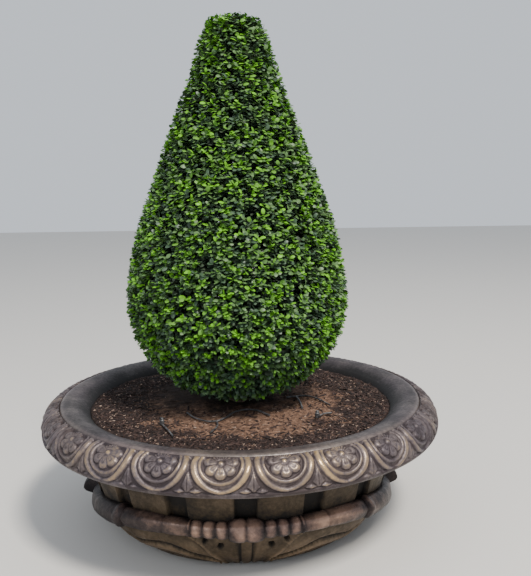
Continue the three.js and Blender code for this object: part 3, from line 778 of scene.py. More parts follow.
def carve_wall(piece):
    points = points_of(piece)
    angle, radius = angle_and_radius(points)
    height = points[:, 2]
    on_wall = (np.abs(radius - wall_radius(height)) < 0.05) & (height > 0.5) & (height < SEAT_Z + 1)
    slope = unit(np.gradient(wall_rows, axis=0))
    out = np.interp(height, wall_rows[:, 1], slope[:, 1])
    rise = -np.interp(height, wall_rows[:, 1], slope[:, 0])
    recess = strip_depth(angle, radius, height)
    leaves = fan_lift(angle, height) * (height < garland_height(angle))
    eyes = eye_depth(angle, height)
    lift = leaves - eyes - recess + 0.5 * clouds(points, 22, 11)
    lift = np.where(on_wall, lift, 0)
    set_points(piece, around(angle, radius + lift * out, height + np.where(recess > 0, 0, lift * rise)))
    beside = six_round(lambda across, upward: fan_lift(angle + across / radius, height + upward), 6)
    panel = PANEL_TONE + PANEL_PATCHES * clouds(points, 70, 12)
    # Painted shade on the panels just over the garland.
    panel -= SHADE_OVER_GARLAND * np.exp(-np.maximum(height - garland_height(angle) - 34, 0) / 18)
    # The fan leaves are lighter where they stand out, with painted highlights on their edges and painted
    # shade in their channels.
    edge_wear_and_painted_light = np.minimum(LEAF_EDGE_LIGHT_AND_SHADE * (leaves - beside), MOST_EDGE_LIGHT)
    leaf_tone = LEAF_TONE + 0.042 * leaves + edge_wear_and_painted_light
    low = height < garland_height(angle) - 20
    # Painted shade in the recessed strips and in the drilled eyes.
    tone = np.where(low, leaf_tone, panel) - STRIP_SHADE * (recess > 0) - EYE_SHADE * eyes
    set_wear_and_painted_light(piece, np.where(on_wall, tone, 0.1))


wall_outline = [*UNDERSIDE_POINTS, *(tuple(row) for row in wall_rows), *FLOOR_AND_INSIDE]
bowl_wall = turned_piece("bowl_wall", wall_outline, WALL_COLUMNS, closed=False)
carve_wall(bowl_wall)
finish_piece(bowl_wall, WALL_BRONZE, "planter", "planter_bowl")

# %% [markdown]
# The garland is a string of carved pieces: a fat double bead in front, three small beads on
# each side of it, then long husks down to a knob on each flank. A finely divided ring is
# turned from a circle, and each of its points is moved to the place that the string has
# there: the radius follows the beads, and the middle follows the wall.

# %% The garland's rules
GARLAND_STANDS_OUT = 12
KNOB_STANDS_OUT = 50
GARLAND_COLUMNS = 1440
GARLAND_SIDES = 32
PIECE_SPANS = [5.6, 4, 4, 4, 9.4, 17.7, 41.7, 3.6]
BEAD_RADII = [(21, 39), (18, 29), (18, 29), (18, 29)]
HUSK_RADII = [(26, 29, 28.5, 5, 1.2, 3.2), (28.5, 32, 31, 1.2, 3, 0.4), (37, 38, 27, 3, 7, 3.2)]
SOFT_JOINT = 4
CUFFED_PIECES = [4, 6]
KNOB_RADII = (26, 38)
KNOB_FLATTER = 0.5
BEAD_CUT = 0.26
SEAM_DEPTH = 2.8
SEAM_HALF = 0.65
PIECE_PEAKS = np.array([39, 29, 29, 29, 28, 31, 39, 38])
piece_ends = np.cumsum(PIECE_SPANS) * 90 / np.sum(PIECE_SPANS)
piece_starts = np.append(0, piece_ends[:-1])
print("garland pieces end at degrees", piece_ends.round(1))


def bead_radius(share, low, high):
    return low + (high - low) * dome(2 * share - 1) ** 0.6


def husk_radius(share, start, middle, end, notch, last_notch, cuff_height):
    """A leaf husk: a rolled cuff where it starts, then a long swell, with a notch at each end."""
    swell = start * (1 - share) * (1 - 2 * share) + middle * 4 * share * (1 - share)
    swell = swell + end * share * (2 * share - 1)
    cuff = cuff_height * ridge(share, 0.05, 0.045)
    closing = last_notch * smooth_step((share - 0.95) / 0.05) + notch * smooth_step((0.025 - share) / 0.025)
    return swell + cuff - closing


def garland_radius(place):
    """Radius of the string at degrees from the front, from 0 to 90, with the piece and the share of it."""
    number = np.clip(np.searchsorted(piece_ends, place, side="left"), 0, len(PIECE_SPANS) - 1)
    share = np.clip((place - piece_starts[number]) / (piece_ends - piece_starts)[number], 0, 1)
    low, high = BEAD_RADII[0]
    share = np.where(number == 0, BEAD_CUT + (1 - BEAD_CUT) * share, share)
    radius = bead_radius(share, low, high) - SEAM_DEPTH * bell(place, SEAM_HALF)
    for piece, (low, high) in enumerate(BEAD_RADII[1:], start=1):
        radius = np.where(number == piece, bead_radius(share, low, high), radius)
    for piece, radii in enumerate(HUSK_RADII, start=len(BEAD_RADII)):
        radius = np.where(number == piece, husk_radius(share, *radii), radius)
    knob = bead_radius(0.5 * share, *KNOB_RADII)
    return np.where(number == len(PIECE_SPANS) - 1, knob, radius), number, share


# %% Shape the garland from a ring
RING_RADIUS = 580
RING_SIDE = 30
LIT_SIDE_TONE = 0.14
CREST_WEAR_AND_HIGHLIGHT = 0.6
TOP_PAINTED_LIGHT = 0.25
CUFF_HIGHLIGHT = 0.5
PATCHY_WEAR = 0.14
BRIGHT_SIDE = 0.4
SEAM_SHADE = 0.24
JOINT_SHADE = 0.1
JOINED = 0.72
RIGHT_FLANK_SHADE = [(30, 9, 0.28), (48, 12, 0.34)]
LEFT_FLANK_SHADE = [(15, 13, 0.52), (42, 12, 0.3)]


def flank_shading(place, fades):
    """Painted shade towards the flank: each fade starts at a turn, lasts some degrees and takes a share."""
    return 1 - sum(share * smooth_step((place - start) / length) for start, length, share in fades)


def garland_tone(points, side, place, size, number, share, on_right):
    """Wear and painted highlights on the crests, painted light on the side that faces out and up and on the
    cuffs, and painted shade in the creases and towards the flanks.
    """
    along = np.where(number == SOFT_JOINT, JOINED * share, share)
    along = np.where(number == SOFT_JOINT + 1, 1 - JOINED + JOINED * share, along)
    fullness = np.clip((size / PIECE_PEAKS[number] - 0.6) / 0.4, 0, 1)
    crest = np.clip(1 - (2 * along - 1) ** 2, 0, 1) ** 0.8 * fullness
    # Painted light: the side that faces out and a little up is lit, with painted light on the tops and a
    # painted highlight in the middle of each bead and husk, where the crests are also worn.
    side_turn = (side - BRIGHT_SIDE + np.pi) % (2 * np.pi) - np.pi
    outward = smooth_step((1.95 - np.abs(side_turn)) / 1.45)
    tone = outward * (LIT_SIDE_TONE + CREST_WEAR_AND_HIGHLIGHT * crest + TOP_PAINTED_LIGHT * np.clip(np.sin(side), 0, 1))
    tone += 0.12 * crest + PATCHY_WEAR * clouds(points, 26, 19) - 0.06 * (number == 0)
    # Painted shade in the double bead's middle crease and at the soft joint.
    tone -= SEAM_SHADE * bell(place, SEAM_HALF) + JOINT_SHADE * bell(place - piece_ends[SOFT_JOINT], 0.5)
    # A painted highlight along the upper edge of each cuff.
    lit_cuff = np.isin(number, CUFFED_PIECES) * smooth_step((np.sin(side) - 0.1) / 0.4)
    tone += CUFF_HIGHLIGHT * lit_cuff * ridge(share, 0.04, 0.035)
    # Painted shade towards both flanks, deeper on the left.
    return tone * np.where(on_right, flank_shading(place, RIGHT_FLANK_SHADE), flank_shading(place, LEFT_FLANK_SHADE))


def shape_garland(piece):
    points = points_of(piece)
    angle, radius = angle_and_radius(points)
    side = np.arctan2(points[:, 2], radius - RING_RADIUS)
    turned = turn_from_bead(angle)
    place = np.abs(turned)
    size, number, share = garland_radius(place)
    height = garland_height(angle)
    knob_share = smooth_step((place - piece_ends[-2]) / 1.2)
    stands_out = GARLAND_STANDS_OUT + (KNOB_STANDS_OUT - GARLAND_STANDS_OUT) * knob_share
    middle = wall_radius(height) + stands_out
    husk = (number >= len(BEAD_RADII)) & (number < len(PIECE_SPANS) - 1)
    fold = np.where(husk, 1.4 * np.cos(5 * side + 0.12 * place), 0.4 * np.cos(9 * side))
    size = size + fold + 0.6 * clouds(points, 18, 17) + 0.5 * clouds(points, 45, 18)
    rise = size * np.sin(side)
    rise = np.where(rise < 0, rise * (1 - KNOB_FLATTER * knob_share), rise)
    set_points(piece, around(angle, middle + size * np.cos(side), height + rise))
    set_wear_and_painted_light(piece, garland_tone(points, side, place, size, number, share, turned > 0))


side_turns = np.arange(GARLAND_SIDES) * 2 * np.pi / GARLAND_SIDES
ring_outline = [(RING_RADIUS + RING_SIDE * np.cos(turn), RING_SIDE * np.sin(turn)) for turn in side_turns]
garland = turned_piece("garland", ring_outline, GARLAND_COLUMNS)
shape_garland(garland)
finish_piece(garland, GARLAND_BRONZE, "planter", "planter_garland")

# %% [markdown]
# The bowl is filled with soil under a layer of shredded bark. A turned disc with three sizes
# of lumps makes the bed. The shreds on it are thin slivers, thousands of them, so they are
# not modelled one by one: one sliver's corners are multiplied by arrays of places, turns and
# sizes, and all slivers of a colour become one mesh.

# %% The soil bed
SOIL_RADIUS = 578
SOIL_EDGE_Z = 441
SOIL_MOUND = 14
BED_RADIUS = 577.5
BED_UNDERSIDE = [(BED_RADIUS, 380), (520, 200), (480, 122), (405, 62), (0, 62)]
BED_STEPS = 300
BED_ROWS = 66


def soil_height(radius):
    return SOIL_EDGE_Z + SOIL_MOUND * (1 - radius / SOIL_RADIUS)


def bed_lumps(points):
    """Uneven ground in lumps of three sizes, mostly under the even level that the drip line keeps."""
    flat = points * (1, 1, 0)
    return 3.2 * clouds(flat, 60, 23) + 2.2 * clouds(flat, 22, 24) + 1.2 * clouds(flat, 9, 25) - 3.5


bed_radii = np.linspace(0, BED_RADIUS, BED_ROWS)
bed_outline = [(radius, soil_height(radius)) for radius in bed_radii] + BED_UNDERSIDE
soil_bed = turned_piece("soil_bed", bed_outline, BED_STEPS, closed=False)
bed_points = points_of(soil_bed)
on_top = bed_points[:, 2] > SOIL_EDGE_Z - 1
bed_points[:, 2] += np.where(on_top, bed_lumps(bed_points), 0)
set_points(soil_bed, bed_points)

# %% Soil paint
PATCH_MIDDLE = (16, -60)
PATCH_REACH = (380, 382)
# The oval of painted shadow under the crown.
SHADOW_MIDDLE = (-70, 110)
SHADOW_REACH = (300, 290)
PAINTED_SHADOW_COLOUR = (0.009, 0.006, 0.005)
DARK_BARK = [(0.35, (0.008, 0.005, 0.005)), (0.55, (0.032, 0.020, 0.017)), (0.72, (0.10, 0.063, 0.05))]
WASHED_SOIL = [(0.32, (0.030, 0.017, 0.012)), (0.52, (0.145, 0.083, 0.056)), (0.72, (0.38, 0.24, 0.165))]


def oval_distance(tree, middle, reach):
    """Distance from the middle of an oval on the bed, a half at its edge."""
    middle, width = np.array(middle) * MM, 2 * np.array(reach) * MM
    place = place_on_object(tree, (*(-middle / width), 0), (*(1 / width), 0))
    return add_node(tree, "VectorMath", "Value", {0: place}, operation="LENGTH")


def soil_paint():
    """Dark bark near the edge, lighter washed soil in front, and a painted shadow of dark bare soil under
    the crown.
    """
    paint, tree, shader = new_paint("soil_and_bark", 0.95, 0.2)
    coarse = noise(tree, scale=70, detail=8, roughness=0.75)
    patches = noise(tree, scale=9, detail=5, roughness=0.65)
    dark = ramp(tree, coarse, DARK_BARK)
    brown = ramp(tree, coarse, WASHED_SOIL)
    from_patch = added(tree, oval_distance(tree, PATCH_MIDDLE, PATCH_REACH), patches)
    from_shadow = added(tree, oval_distance(tree, SHADOW_MIDDLE, SHADOW_REACH), patches)
    soil = mixed(tree, spread(tree, from_patch, 0.95, 1.06, 1, 0), dark, brown)
    # A painted shadow: dark bare soil in the oval under the crown.
    soil = mixed(tree, spread(tree, from_shadow, 0.85, 1.05, 0.85, 0), soil, PAINTED_SHADOW_COLOUR)
    tree.links.new(soil, shader.inputs["Base Color"])
    bumped(tree, shader, coarse, strength=0.9, depth=0.006)
    return paint


finish_piece(soil_bed, soil_paint(), "soil", "soil")


# %% A mesh from arrays
def mesh_from_arrays(name, points, faces):
    """A mesh from points in millimetres and triangles or four-sided faces, all alike."""
    mesh = bpy.data.meshes.new(name)
    corners = faces.shape[1]
    mesh.vertices.add(len(points))
    mesh.vertices.foreach_set("co", (points * MM).ravel())
    mesh.loops.add(faces.size)
    mesh.loops.foreach_set("vertex_index", faces.ravel().astype(np.int32))
    mesh.polygons.add(len(faces))
    mesh.polygons.foreach_set("loop_start", np.arange(0, faces.size, corners, dtype=np.int32))
    mesh.update(calc_edges=True)
    return add_object(name, mesh)


def dealt_copies(corners, faces, places, axes, sizes):
    """Copies of a small shape: its corners on three axes, scaled, at every place."""
    scaled = corners[None, :, :] * sizes[:, None, :]
    points = places[:, None, :] + np.einsum("nck,nkj->ncj", scaled, axes)
    shifts = np.arange(len(places))[:, None, None] * len(corners)
    return points.reshape(-1, 3), (faces[None] + shifts).reshape(-1, faces.shape[1])


# %% Shredded bark on the bed
SLIVER = np.array([
    [-0.5, -0.5, -0.4], [0.5, -0.3, -0.4], [0.42, 0.5, -0.4], [-0.4, 0.35, -0.4],
    [-0.44, -0.4, 0.5], [0.4, -0.2, 0.3], [0.35, 0.36, 0.5], [-0.34, 0.3, 0.4],
])
SLIVER_FACES = np.array([
    [3, 2, 1, 0], [4, 5, 6, 7], [0, 1, 5, 4], [1, 2, 6, 5], [2, 3, 7, 6], [3, 0, 4, 7],
])
BARK_KINDS = {
    "bark_dark": (8500, 4.2, 0.94, (0.008, 0.0055, 0.0055), (0.027, 0.0165, 0.0145)),
    "bark_brown": (7500, 3.6, 0.8, (0.022, 0.013, 0.011), (0.074, 0.044, 0.036)),
    "bark_pale": (2100, 1.9, 0.75, (0.14, 0.095, 0.075), (0.37, 0.27, 0.21)),
}
BARK_LENGTHS = (4, 44)
BARK_WIDTHS = (2.2, 9)
BARK_THICKNESSES = (1.2, 3)
BARK_TILT = 0.22
BARK_ROLL = 0.3


def scatter_bark(name, count, grain, washed, seed):
    """Thin slivers, nearly flat, a share of them washed off the worn patch, none under the crown."""
    random = np.random.default_rng(seed)
    radius = SOIL_RADIUS * np.sqrt(random.uniform(0.01, 0.97, count))
    angle = random.uniform(-np.pi, np.pi, count)
    places = around(angle, radius, soil_height(radius))
    from_patch = np.linalg.norm((places[:, :2] - PATCH_MIDDLE) / PATCH_REACH, axis=1)
    from_shadow = np.linalg.norm((places[:, :2] - SHADOW_MIDDLE) / SHADOW_REACH, axis=1)
    left_lying = (from_patch > random.normal(1.02, 0.1, count)) | (random.random(count) > washed)
    places = places[left_lying & (from_shadow > random.normal(0.9, 0.1, count))]
    count = len(places)
    places[:, 2] += bed_lumps(places) + random.uniform(-0.5, 2.5, count)
    heading = random.uniform(0, 2 * np.pi, count)
    tilt = random.normal(0, BARK_TILT, count)
    along = [np.cos(heading) * np.cos(tilt), np.sin(heading) * np.cos(tilt), np.sin(tilt)]
    along = np.stack(along, axis=1)
    rolls = [random.normal(0, BARK_ROLL, count) for _ in range(2)]
    upward = np.stack([*rolls, np.ones(count)], axis=1)
    across = unit(np.cross(unit(upward), along))
    axes = np.stack([along, across, np.cross(along, across)], axis=1)
    length = random.gamma(4.0, grain, count).clip(*BARK_LENGTHS)
    width = (length * random.uniform(0.2, 0.5, count)).clip(*BARK_WIDTHS)
    sizes = np.stack([length, width, random.uniform(*BARK_THICKNESSES, count)], axis=1)
    return mesh_from_arrays(name, *dealt_copies(SLIVER, SLIVER_FACES, places, axes, sizes))


for number, (kind, (count, grain, washed, low, high)) in enumerate(BARK_KINDS.items()):
    bark = scatter_bark(kind, count, grain, washed, SEED + number)
    bark_paint = grained_paint(kind, 0.85, 0.3, {"scale": 120}, [(0.35, low), (0.65, high)], (0.4, 0.001))
    finish_piece(bark, bark_paint, "soil")
    bark.data.shade_flat()

# %% [markdown]
# A thin black drip line lies on the mulch, with two drippers beside it. Its route
# was read from the photo, point by point. A tube along a bent route is a curve with a round
# bevel, which is then made a mesh.

# %% The drip line
TUBE_RADIUS = 3.2
TUBE_LIFT = 0.3
FRONT_ROUTE = [(-208, -180), (-170, -251), (-112, -288), (-70, -256), (-23, -188), (34, -178), (92, -246)]
TUBE_ROUTES = {
    "tube_front": (FRONT_ROUTE, "drip_tube_front"),
    "tube_branch": ([(-101, -284), (-98, -330), (-122, -394)], "drip_tube_branch"),
    "tube_right": ([(176, -38), (209, -27), (262, -22), (300, -72), (331, -142)], "drip_tube_right"),
    "tube_short": ([(216, -28), (222, -100), (221, -171)], "drip_tube_short"),
    "tail_left": ([(-291, -293), (-266, -358), (-248, -412)], "dripper_tail_left"),
    "tail_right": ([(268, -265), (294, -240), (320, -232)], "dripper_tail_right"),
}
DUSTY = [(0.40, (0.013, 0.013, 0.014)), (0.63, (0.1045, 0.10075, 0.1025))]
BLACK_PLASTIC = grained_paint("black_plastic", 0.42, 0.5, {"scale": 60}, DUSTY)


def drip_tube(name, route, node):
    curve = bpy.data.curves.new(name, "CURVE")
    curve.dimensions = "3D"
    curve.bevel_depth = TUBE_RADIUS * MM
    curve.bevel_resolution = 3
    curve.resolution_u = 8
    curve.use_fill_caps = True
    spline = curve.splines.new("BEZIER")
    spline.bezier_points.add(len(route) - 1)
    for knot, (x, y) in zip(spline.bezier_points, route):
        height = soil_height(np.hypot(x, y)) + TUBE_RADIUS + TUBE_LIFT
        knot.co = Vector((x, y, height)) * MM
        knot.handle_left_type = "AUTO"
        knot.handle_right_type = "AUTO"
    pick(add_object(name, curve))
    bpy.ops.object.convert(target="MESH")
    finish_piece(bpy.context.object, BLACK_PLASTIC, "drip_line", node)


for name, (route, node) in TUBE_ROUTES.items():
    drip_tube(name, route, node)


# %% The two drippers
DRIPPERS = {"left": (-293, -286), "right": (262, -271)}
DRIPPER_RIBS = 14


def add_dripper(side, x, y):
    """A ribbed body with a narrower top, turned from one outline and then moved to its place."""
    foot = soil_height(np.hypot(x, y)) + TUBE_LIFT
    outline = [
        (0, 0), (7.5, 0), (9, 1.5), (9, 9), (8.2, 10), (8.2, 11), (9, 12), (9, 17),
        (7, 19), (6.3, 20), (6.3, 23.5), (4.5, 25.8), (0, 25.8),
    ]
    body = turned_piece(f"drip_stake_{side}", outline, 28, closed=False)
    points = points_of(body)
    angle, radius = angle_and_radius(points)
    ribbed = (radius > 8.5) * 0.5 * np.abs(np.cos(DRIPPER_RIBS * angle))
    set_points(body, around(angle, radius - ribbed, points[:, 2]) + (x, y, foot))
    finish_piece(body, BLACK_PLASTIC, "drip_line", f"dripper_{side}")
    pick(body)
    bpy.ops.object.shade_smooth_by_angle(angle=0.6)


for side, (x, y) in DRIPPERS.items():
    add_dripper(side, x, y)

# %% [markdown]
# The stem is short, fluted at its foot and hidden by the crown. Its outline is turned, and
# its points are then pushed in and out: five broad flutes that fade upwards, and narrow
# cracked ridges that run along the bark. Old boxwood has pale, corky, finely split bark.

# %% Stem with bark relief
STEM_HEIGHT = 340
STEM_LEAN = 10
STEM_STEPS = 96
STEM_ROWS = 90
CROWN_OFFSET_X = -7
STEM_SHARES = [0, 0.06, 0.16, 0.5, 1]
STEM_RADII = [62, 47, 36, 30, 20]
FLUTING = 0.14
FLUTES = 5
BARK_DEPTH = 2.4


def bark_relief(angle, height, radius, seed):
    """Long ridges that wander and split, from about -1 to 1."""
    around_stem = np.stack([np.cos(angle) * radius, np.sin(angle) * radius, height * 0.16], axis=1)
    ridges = 1 - 2 * np.abs(clouds(around_stem, 7, seed))
    return 0.75 * ridges + 0.4 * clouds(around_stem * (1, 1, 3), 5, seed + 1)


STEM_BARK = grained_paint(
    "boxwood_bark", 0.9, 0.25, {"scale": 60, "detail": 6, "roughness": 0.7, "stretch": (1, 1, 0.18)},
    [(0.3, (0.03, 0.022, 0.015)), (0.55, (0.13, 0.1, 0.07)), (0.75, (0.28, 0.23, 0.17))], (0.6, 0.002),
)
stem_foot = soil_height(0) - 6
stem_shares = np.linspace(0, 1, STEM_ROWS)
stem_radii = np.interp(stem_shares, STEM_SHARES, STEM_RADII)
stem_heights = stem_foot + STEM_HEIGHT * stem_shares
stem_outline = [(0, stem_foot), *zip(stem_radii, stem_heights), (0, stem_foot + STEM_HEIGHT)]
bark_stem = turned_piece("bark_stem", stem_outline, STEM_STEPS, closed=False)
stem_points = points_of(bark_stem)
stem_angle, stem_radius = angle_and_radius(stem_points)
stem_up = (stem_points[:, 2] - stem_foot) / STEM_HEIGHT
fluted = 1 + FLUTING * np.clip(1 - stem_up / 0.16, 0, 1) * np.cos(FLUTES * stem_angle)
rough = BARK_DEPTH * (bark_relief(stem_angle, stem_points[:, 2], stem_radius, 31) - 1)
new_radius = np.where(stem_radius > 0.01, stem_radius * fluted + rough, 0)
stem_points = around(stem_angle, new_radius, stem_points[:, 2])
stem_points[:, 0] += CROWN_OFFSET_X + STEM_LEAN * stem_up
set_points(bark_stem, stem_points)
finish_piece(bark_stem, STEM_BARK, "stem", "stem")

# %% [markdown]
# The crown is one clipped mass. Its rule is the same as in the solids: places are dealt
# evenly over the teardrop's skin by the golden angle, a twig stands at each, and leaves stand
# on the twig, left out where they would pass the skin. The solids have 84 such twigs. Here each
# of the 84 is a bough that leaves a leader in the middle of the crown, and thousands of twigs
# grow on from the boughs' ends to the skin, with pairs of leaves. Everything is worked out in
# arrays, because a loop in code over nearly a hundred thousand leaves would be slow.

# %% The teardrop's outline
CROWN_OUTLINE = np.array([
    [60, 470], [190, 499], [285, 560], [362, 650], [408, 745], [424, 850], [414, 960], [377, 1130],
    [306, 1330], [232, 1530], [168, 1700], [140, 1800], [113, 1861], [80, 1893], [0, 1902],
], float)
SKIN_ROWS = 1600


def skin_rows(count):
    """Rows up the skin: radius, height, the outward normal and the area below each."""
    place = np.linspace(0, len(CROWN_OUTLINE) - 1, count)
    row = np.minimum(place.astype(int), len(CROWN_OUTLINE) - 2)
    share = (place - row)[:, None]
    last = len(CROWN_OUTLINE) - 1
    before, start, end, after = (CROWN_OUTLINE[np.clip(row + step, 0, last)] for step in (-1, 0, 1, 2))
    curve = bent(start, end, (end - before) / 2, (after - start) / 2, share)
    curve[:, 0] = np.maximum(curve[:, 0], 0)
    slope = unit(np.gradient(curve, axis=0))
    step = np.linalg.norm(np.diff(curve, axis=0), axis=1)
    area = np.append(0, np.cumsum(np.pi * (curve[1:, 0] + curve[:-1, 0]) * step))
    return curve[:, 0], curve[:, 1], slope[:, 1], -slope[:, 0], area


skin_radius, skin_height, skin_out, skin_up, skin_area = skin_rows(SKIN_ROWS)
print("skin area in square metres", round(skin_area[-1] * MM * MM, 2))


def skin_limit(height):
    """The skin's radius at a height, and less than nothing above or below it."""
    return np.interp(height, skin_height, skin_radius, left=-1, right=-1)


# %% Places dealt over the skin
GOLDEN_ANGLE = np.pi * (3 - np.sqrt(5))
STRAY = 0.3


def dealt_places(count, seed):
    """Places on the skin with their outward, level and upward directions."""
    random = np.random.default_rng(seed)
    wanted = skin_area[-1] * (np.arange(count) + 0.5) / count
    skin_values = (skin_radius, skin_height, skin_out, skin_up)
    radius, height, out, rise = (np.interp(wanted, skin_area, values) for values in skin_values)
    angle = np.arange(count) * GOLDEN_ANGLE + STRAY * (random.random(count) - 0.5)
    skin = around(angle, radius, height) + (CROWN_OFFSET_X, 0, 0)
    normal = unit(around(angle, out, rise))
    level = around(angle + np.pi / 2, 1.0, 0.0)
    return skin, normal, level, np.cross(normal, level), random


# %% Tapering tubes along many routes at once
def tubes(name, routes, radii, sides):
    """One mesh of closed tubes. Routes are points for each tube, radii one for each point."""
    count, stations = routes.shape[:2]
    ahead = unit(np.gradient(routes, axis=1))
    aside = unit(np.cross(ahead, np.array([0.31, 0.17, 0.93])))
    over = np.cross(ahead, aside)
    turn = np.arange(sides) * 2 * np.pi / sides
    ring = aside[:, :, None, :] * np.cos(turn)[:, None] + over[:, :, None, :] * np.sin(turn)[:, None]
    points = routes[:, :, None, :] + ring * radii[:, :, None, None]
    station, side = np.meshgrid(np.arange(stations - 1), np.arange(sides), indexing="ij")
    beside = (side + 1) % sides
    low, high = station * sides, (station + 1) * sides
    skin = np.stack([low + side, low + beside, high + beside, high + side], axis=-1).reshape(-1, 4)
    triangles = np.concatenate([skin[:, [0, 1, 2]], skin[:, [0, 2, 3]]])
    fan = np.arange(1, sides - 1)
    foot = np.stack([np.zeros_like(fan), fan + 1, fan], axis=-1)
    tip = np.stack([np.zeros_like(fan), fan, fan + 1], axis=-1) + (stations - 1) * sides
    faces = np.concatenate([triangles, foot, tip])
    shifts = np.arange(count)[:, None, None] * stations * sides
    return mesh_from_arrays(name, points.reshape(-1, 3), (faces[None] + shifts).reshape(-1, 3))


# %% Leader and boughs
BOUGHS = 84
BOUGH_DEPTH = 58
BOUGH_STATIONS = 9
BOUGH_RADII = (8.5, 3.2)
BOUGH_CLIMB = 150
BOUGH_SAG = 26.0
LOWEST_BOUGH = 560
LEADER_FOOT, LEADER_TOP = 780, 1760
LEADER_STATIONS = 26
LEADER_RADII = (19.5, 4)


def leader_place(height):
    """The middle of the leader, which wanders a little on its way up."""
    share = (height - LEADER_FOOT) / 1000
    x = CROWN_OFFSET_X + STEM_LEAN - 4 * share + 9 * np.sin(share * 7.0) * share
    y = 8 * np.sin(share * 5.3 + 1.0) * share
    return np.stack([x, y, height], axis=-1)


TWIG_COLOURS = [(0.35, (0.014, 0.016, 0.007)), (0.65, (0.045, 0.045, 0.018))]
TWIG_PAINT = grained_paint("twig_bark", 0.8, 0.3, {"scale": 40}, TWIG_COLOURS)
leader_heights = np.linspace(stem_foot + STEM_HEIGHT - 12, LEADER_TOP, LEADER_STATIONS)
leader_radii = np.linspace(*LEADER_RADII, LEADER_STATIONS)
leader = tubes("leader", leader_place(leader_heights)[None], leader_radii[None], sides=14)
finish_piece(leader, TWIG_PAINT, "stem")

bough_skin, bough_normal = dealt_places(BOUGHS, SEED)[:2]
bough_ends = bough_skin - bough_normal * BOUGH_DEPTH
bough_starts = leader_place(np.clip(bough_ends[:, 2] - BOUGH_CLIMB, LOWEST_BOUGH, LEADER_TOP - 20))
low_start = bough_starts[:, 2] < LEADER_FOOT + 10
bough_starts[low_start, 0] = CROWN_OFFSET_X + STEM_LEAN
bough_starts[low_start, 1] = 0
bough_share = np.linspace(0, 1, BOUGH_STATIONS)[None, :, None]
bough_sag = np.sin(np.pi * bough_share) * np.array([0, 0, -BOUGH_SAG])
bough_routes = bough_starts[:, None] * (1 - bough_share) + bough_ends[:, None] * bough_share + bough_sag
bough_radii = np.tile(np.linspace(*BOUGH_RADII, BOUGH_STATIONS), (BOUGHS, 1))
boughs = tubes("boughs", bough_routes, bough_radii, sides=7)
finish_piece(boughs, TWIG_PAINT, "stem")

# %% Fine twigs from the boughs to the skin
SHOOT_LAYERS = {"outer": (5300, 3, 19), "inner": (3100, 26, 52)}
SHOOT_LENGTH = 62
BEND_LENGTH = 18
TWIG_RADII = [1.9, 1.5, 1.3, 0.8]
TWIG_WANDER = 0.75
TWIG_CLIMB = 0.22


def grow_shoots(count, least_depth, most_depth, seed):
    """Tips and directions of shoots whose tips lie at a depth under the skin."""
    skin, normal, level, upward, random = dealt_places(count, seed)
    depth = random.uniform(least_depth, most_depth, (count, 1))
    tips = skin - normal * depth
    direction = normal + level * TWIG_WANDER * (random.random((count, 1)) - 0.5)
    direction = direction + upward * TWIG_WANDER * (random.random((count, 1)) - 0.5)
    return tips, unit(direction + (0, 0, TWIG_CLIMB)), normal, random


def nearest_bough_points(places):
    """The point of the outer half of the boughs that is nearest to each place."""
    offered = bough_routes[:, BOUGH_STATIONS // 2:].reshape(-1, 3)
    nearest = np.empty(len(places), int)
    for start in range(0, len(places), 500):
        gaps = places[start:start + 500, None] - offered[None]
        nearest[start:start + 500] = np.argmin((gaps**2).sum(axis=2), axis=1)
    return offered[nearest]


def twig_routes(tips, direction):
    """A bend from the bough into the shoot, as four points."""
    foot = tips - direction * SHOOT_LENGTH
    bend = foot - direction * BEND_LENGTH
    return np.stack([nearest_bough_points(foot), bend, foot, tips], axis=1)


all_shoots = {}
for number, (layer, (count, least, most)) in enumerate(SHOOT_LAYERS.items()):
    all_shoots[layer] = grow_shoots(count, least, most, SEED + 50 + number)
    tips, direction = all_shoots[layer][:2]
    radii = np.tile(TWIG_RADII, (count, 1))
    twigs = tubes(f"twigs_{layer}", twig_routes(tips, direction), radii, sides=3)
    finish_piece(twigs, TWIG_PAINT, "stem")

# %% [markdown]
# A boxwood leaf is a small blunt oval, two thirds as wide as it is long or less, folded a
# little along its middle and curved down at its tip, with a waxy shine. Ten triangles give
# that. The leaves stand in crossed pairs along the shoot, turned to the light. A clipped plant
# shows old dark leaves deep in the gaps, blue-green grown ones, and yellow-green young ones
# at the shoots' ends, so the leaves are dealt to those kinds by shoot and by place on it.
# Deep in the gaps and low in the crown, a dark shaded kind is also dealt, as painted shade.

# %% One leaf
LEAF = np.array([
    [0, 0, 0],
    [-0.22, 0.18, 0.0], [-0.33, 0.52, -0.02], [-0.21, 0.86, -0.09],
    [0, 1, -0.16],
    [0.21, 0.86, -0.09], [0.33, 0.52, -0.02], [0.22, 0.18, 0.0],
    [0, 0.34, 0.03], [0, 0.7, 0.0],
])
LEAF_FACES = np.array([
    [0, 8, 1], [1, 8, 2], [8, 9, 2], [2, 9, 3], [3, 9, 4],
    [0, 7, 8], [7, 6, 8], [8, 6, 9], [6, 5, 9], [5, 4, 9],
])
LEAF_PAIRS = 6
GROWTH = [0.74, 0.9, 1, 1, 1, 1]
LEAF_GAP = 10.5
LEAF_LENGTH = 24.5
LEAF_SIZES = (0.82, 1.14)
LEAF_LEVEL = 0.5
LEAF_SPARE = 5
LEAF_DROOP = 14
TIP_LEAN, SIDE_LEAN = 0.45, 1.0
FACE_OUT, FACE_UP = 0.55, 0.8


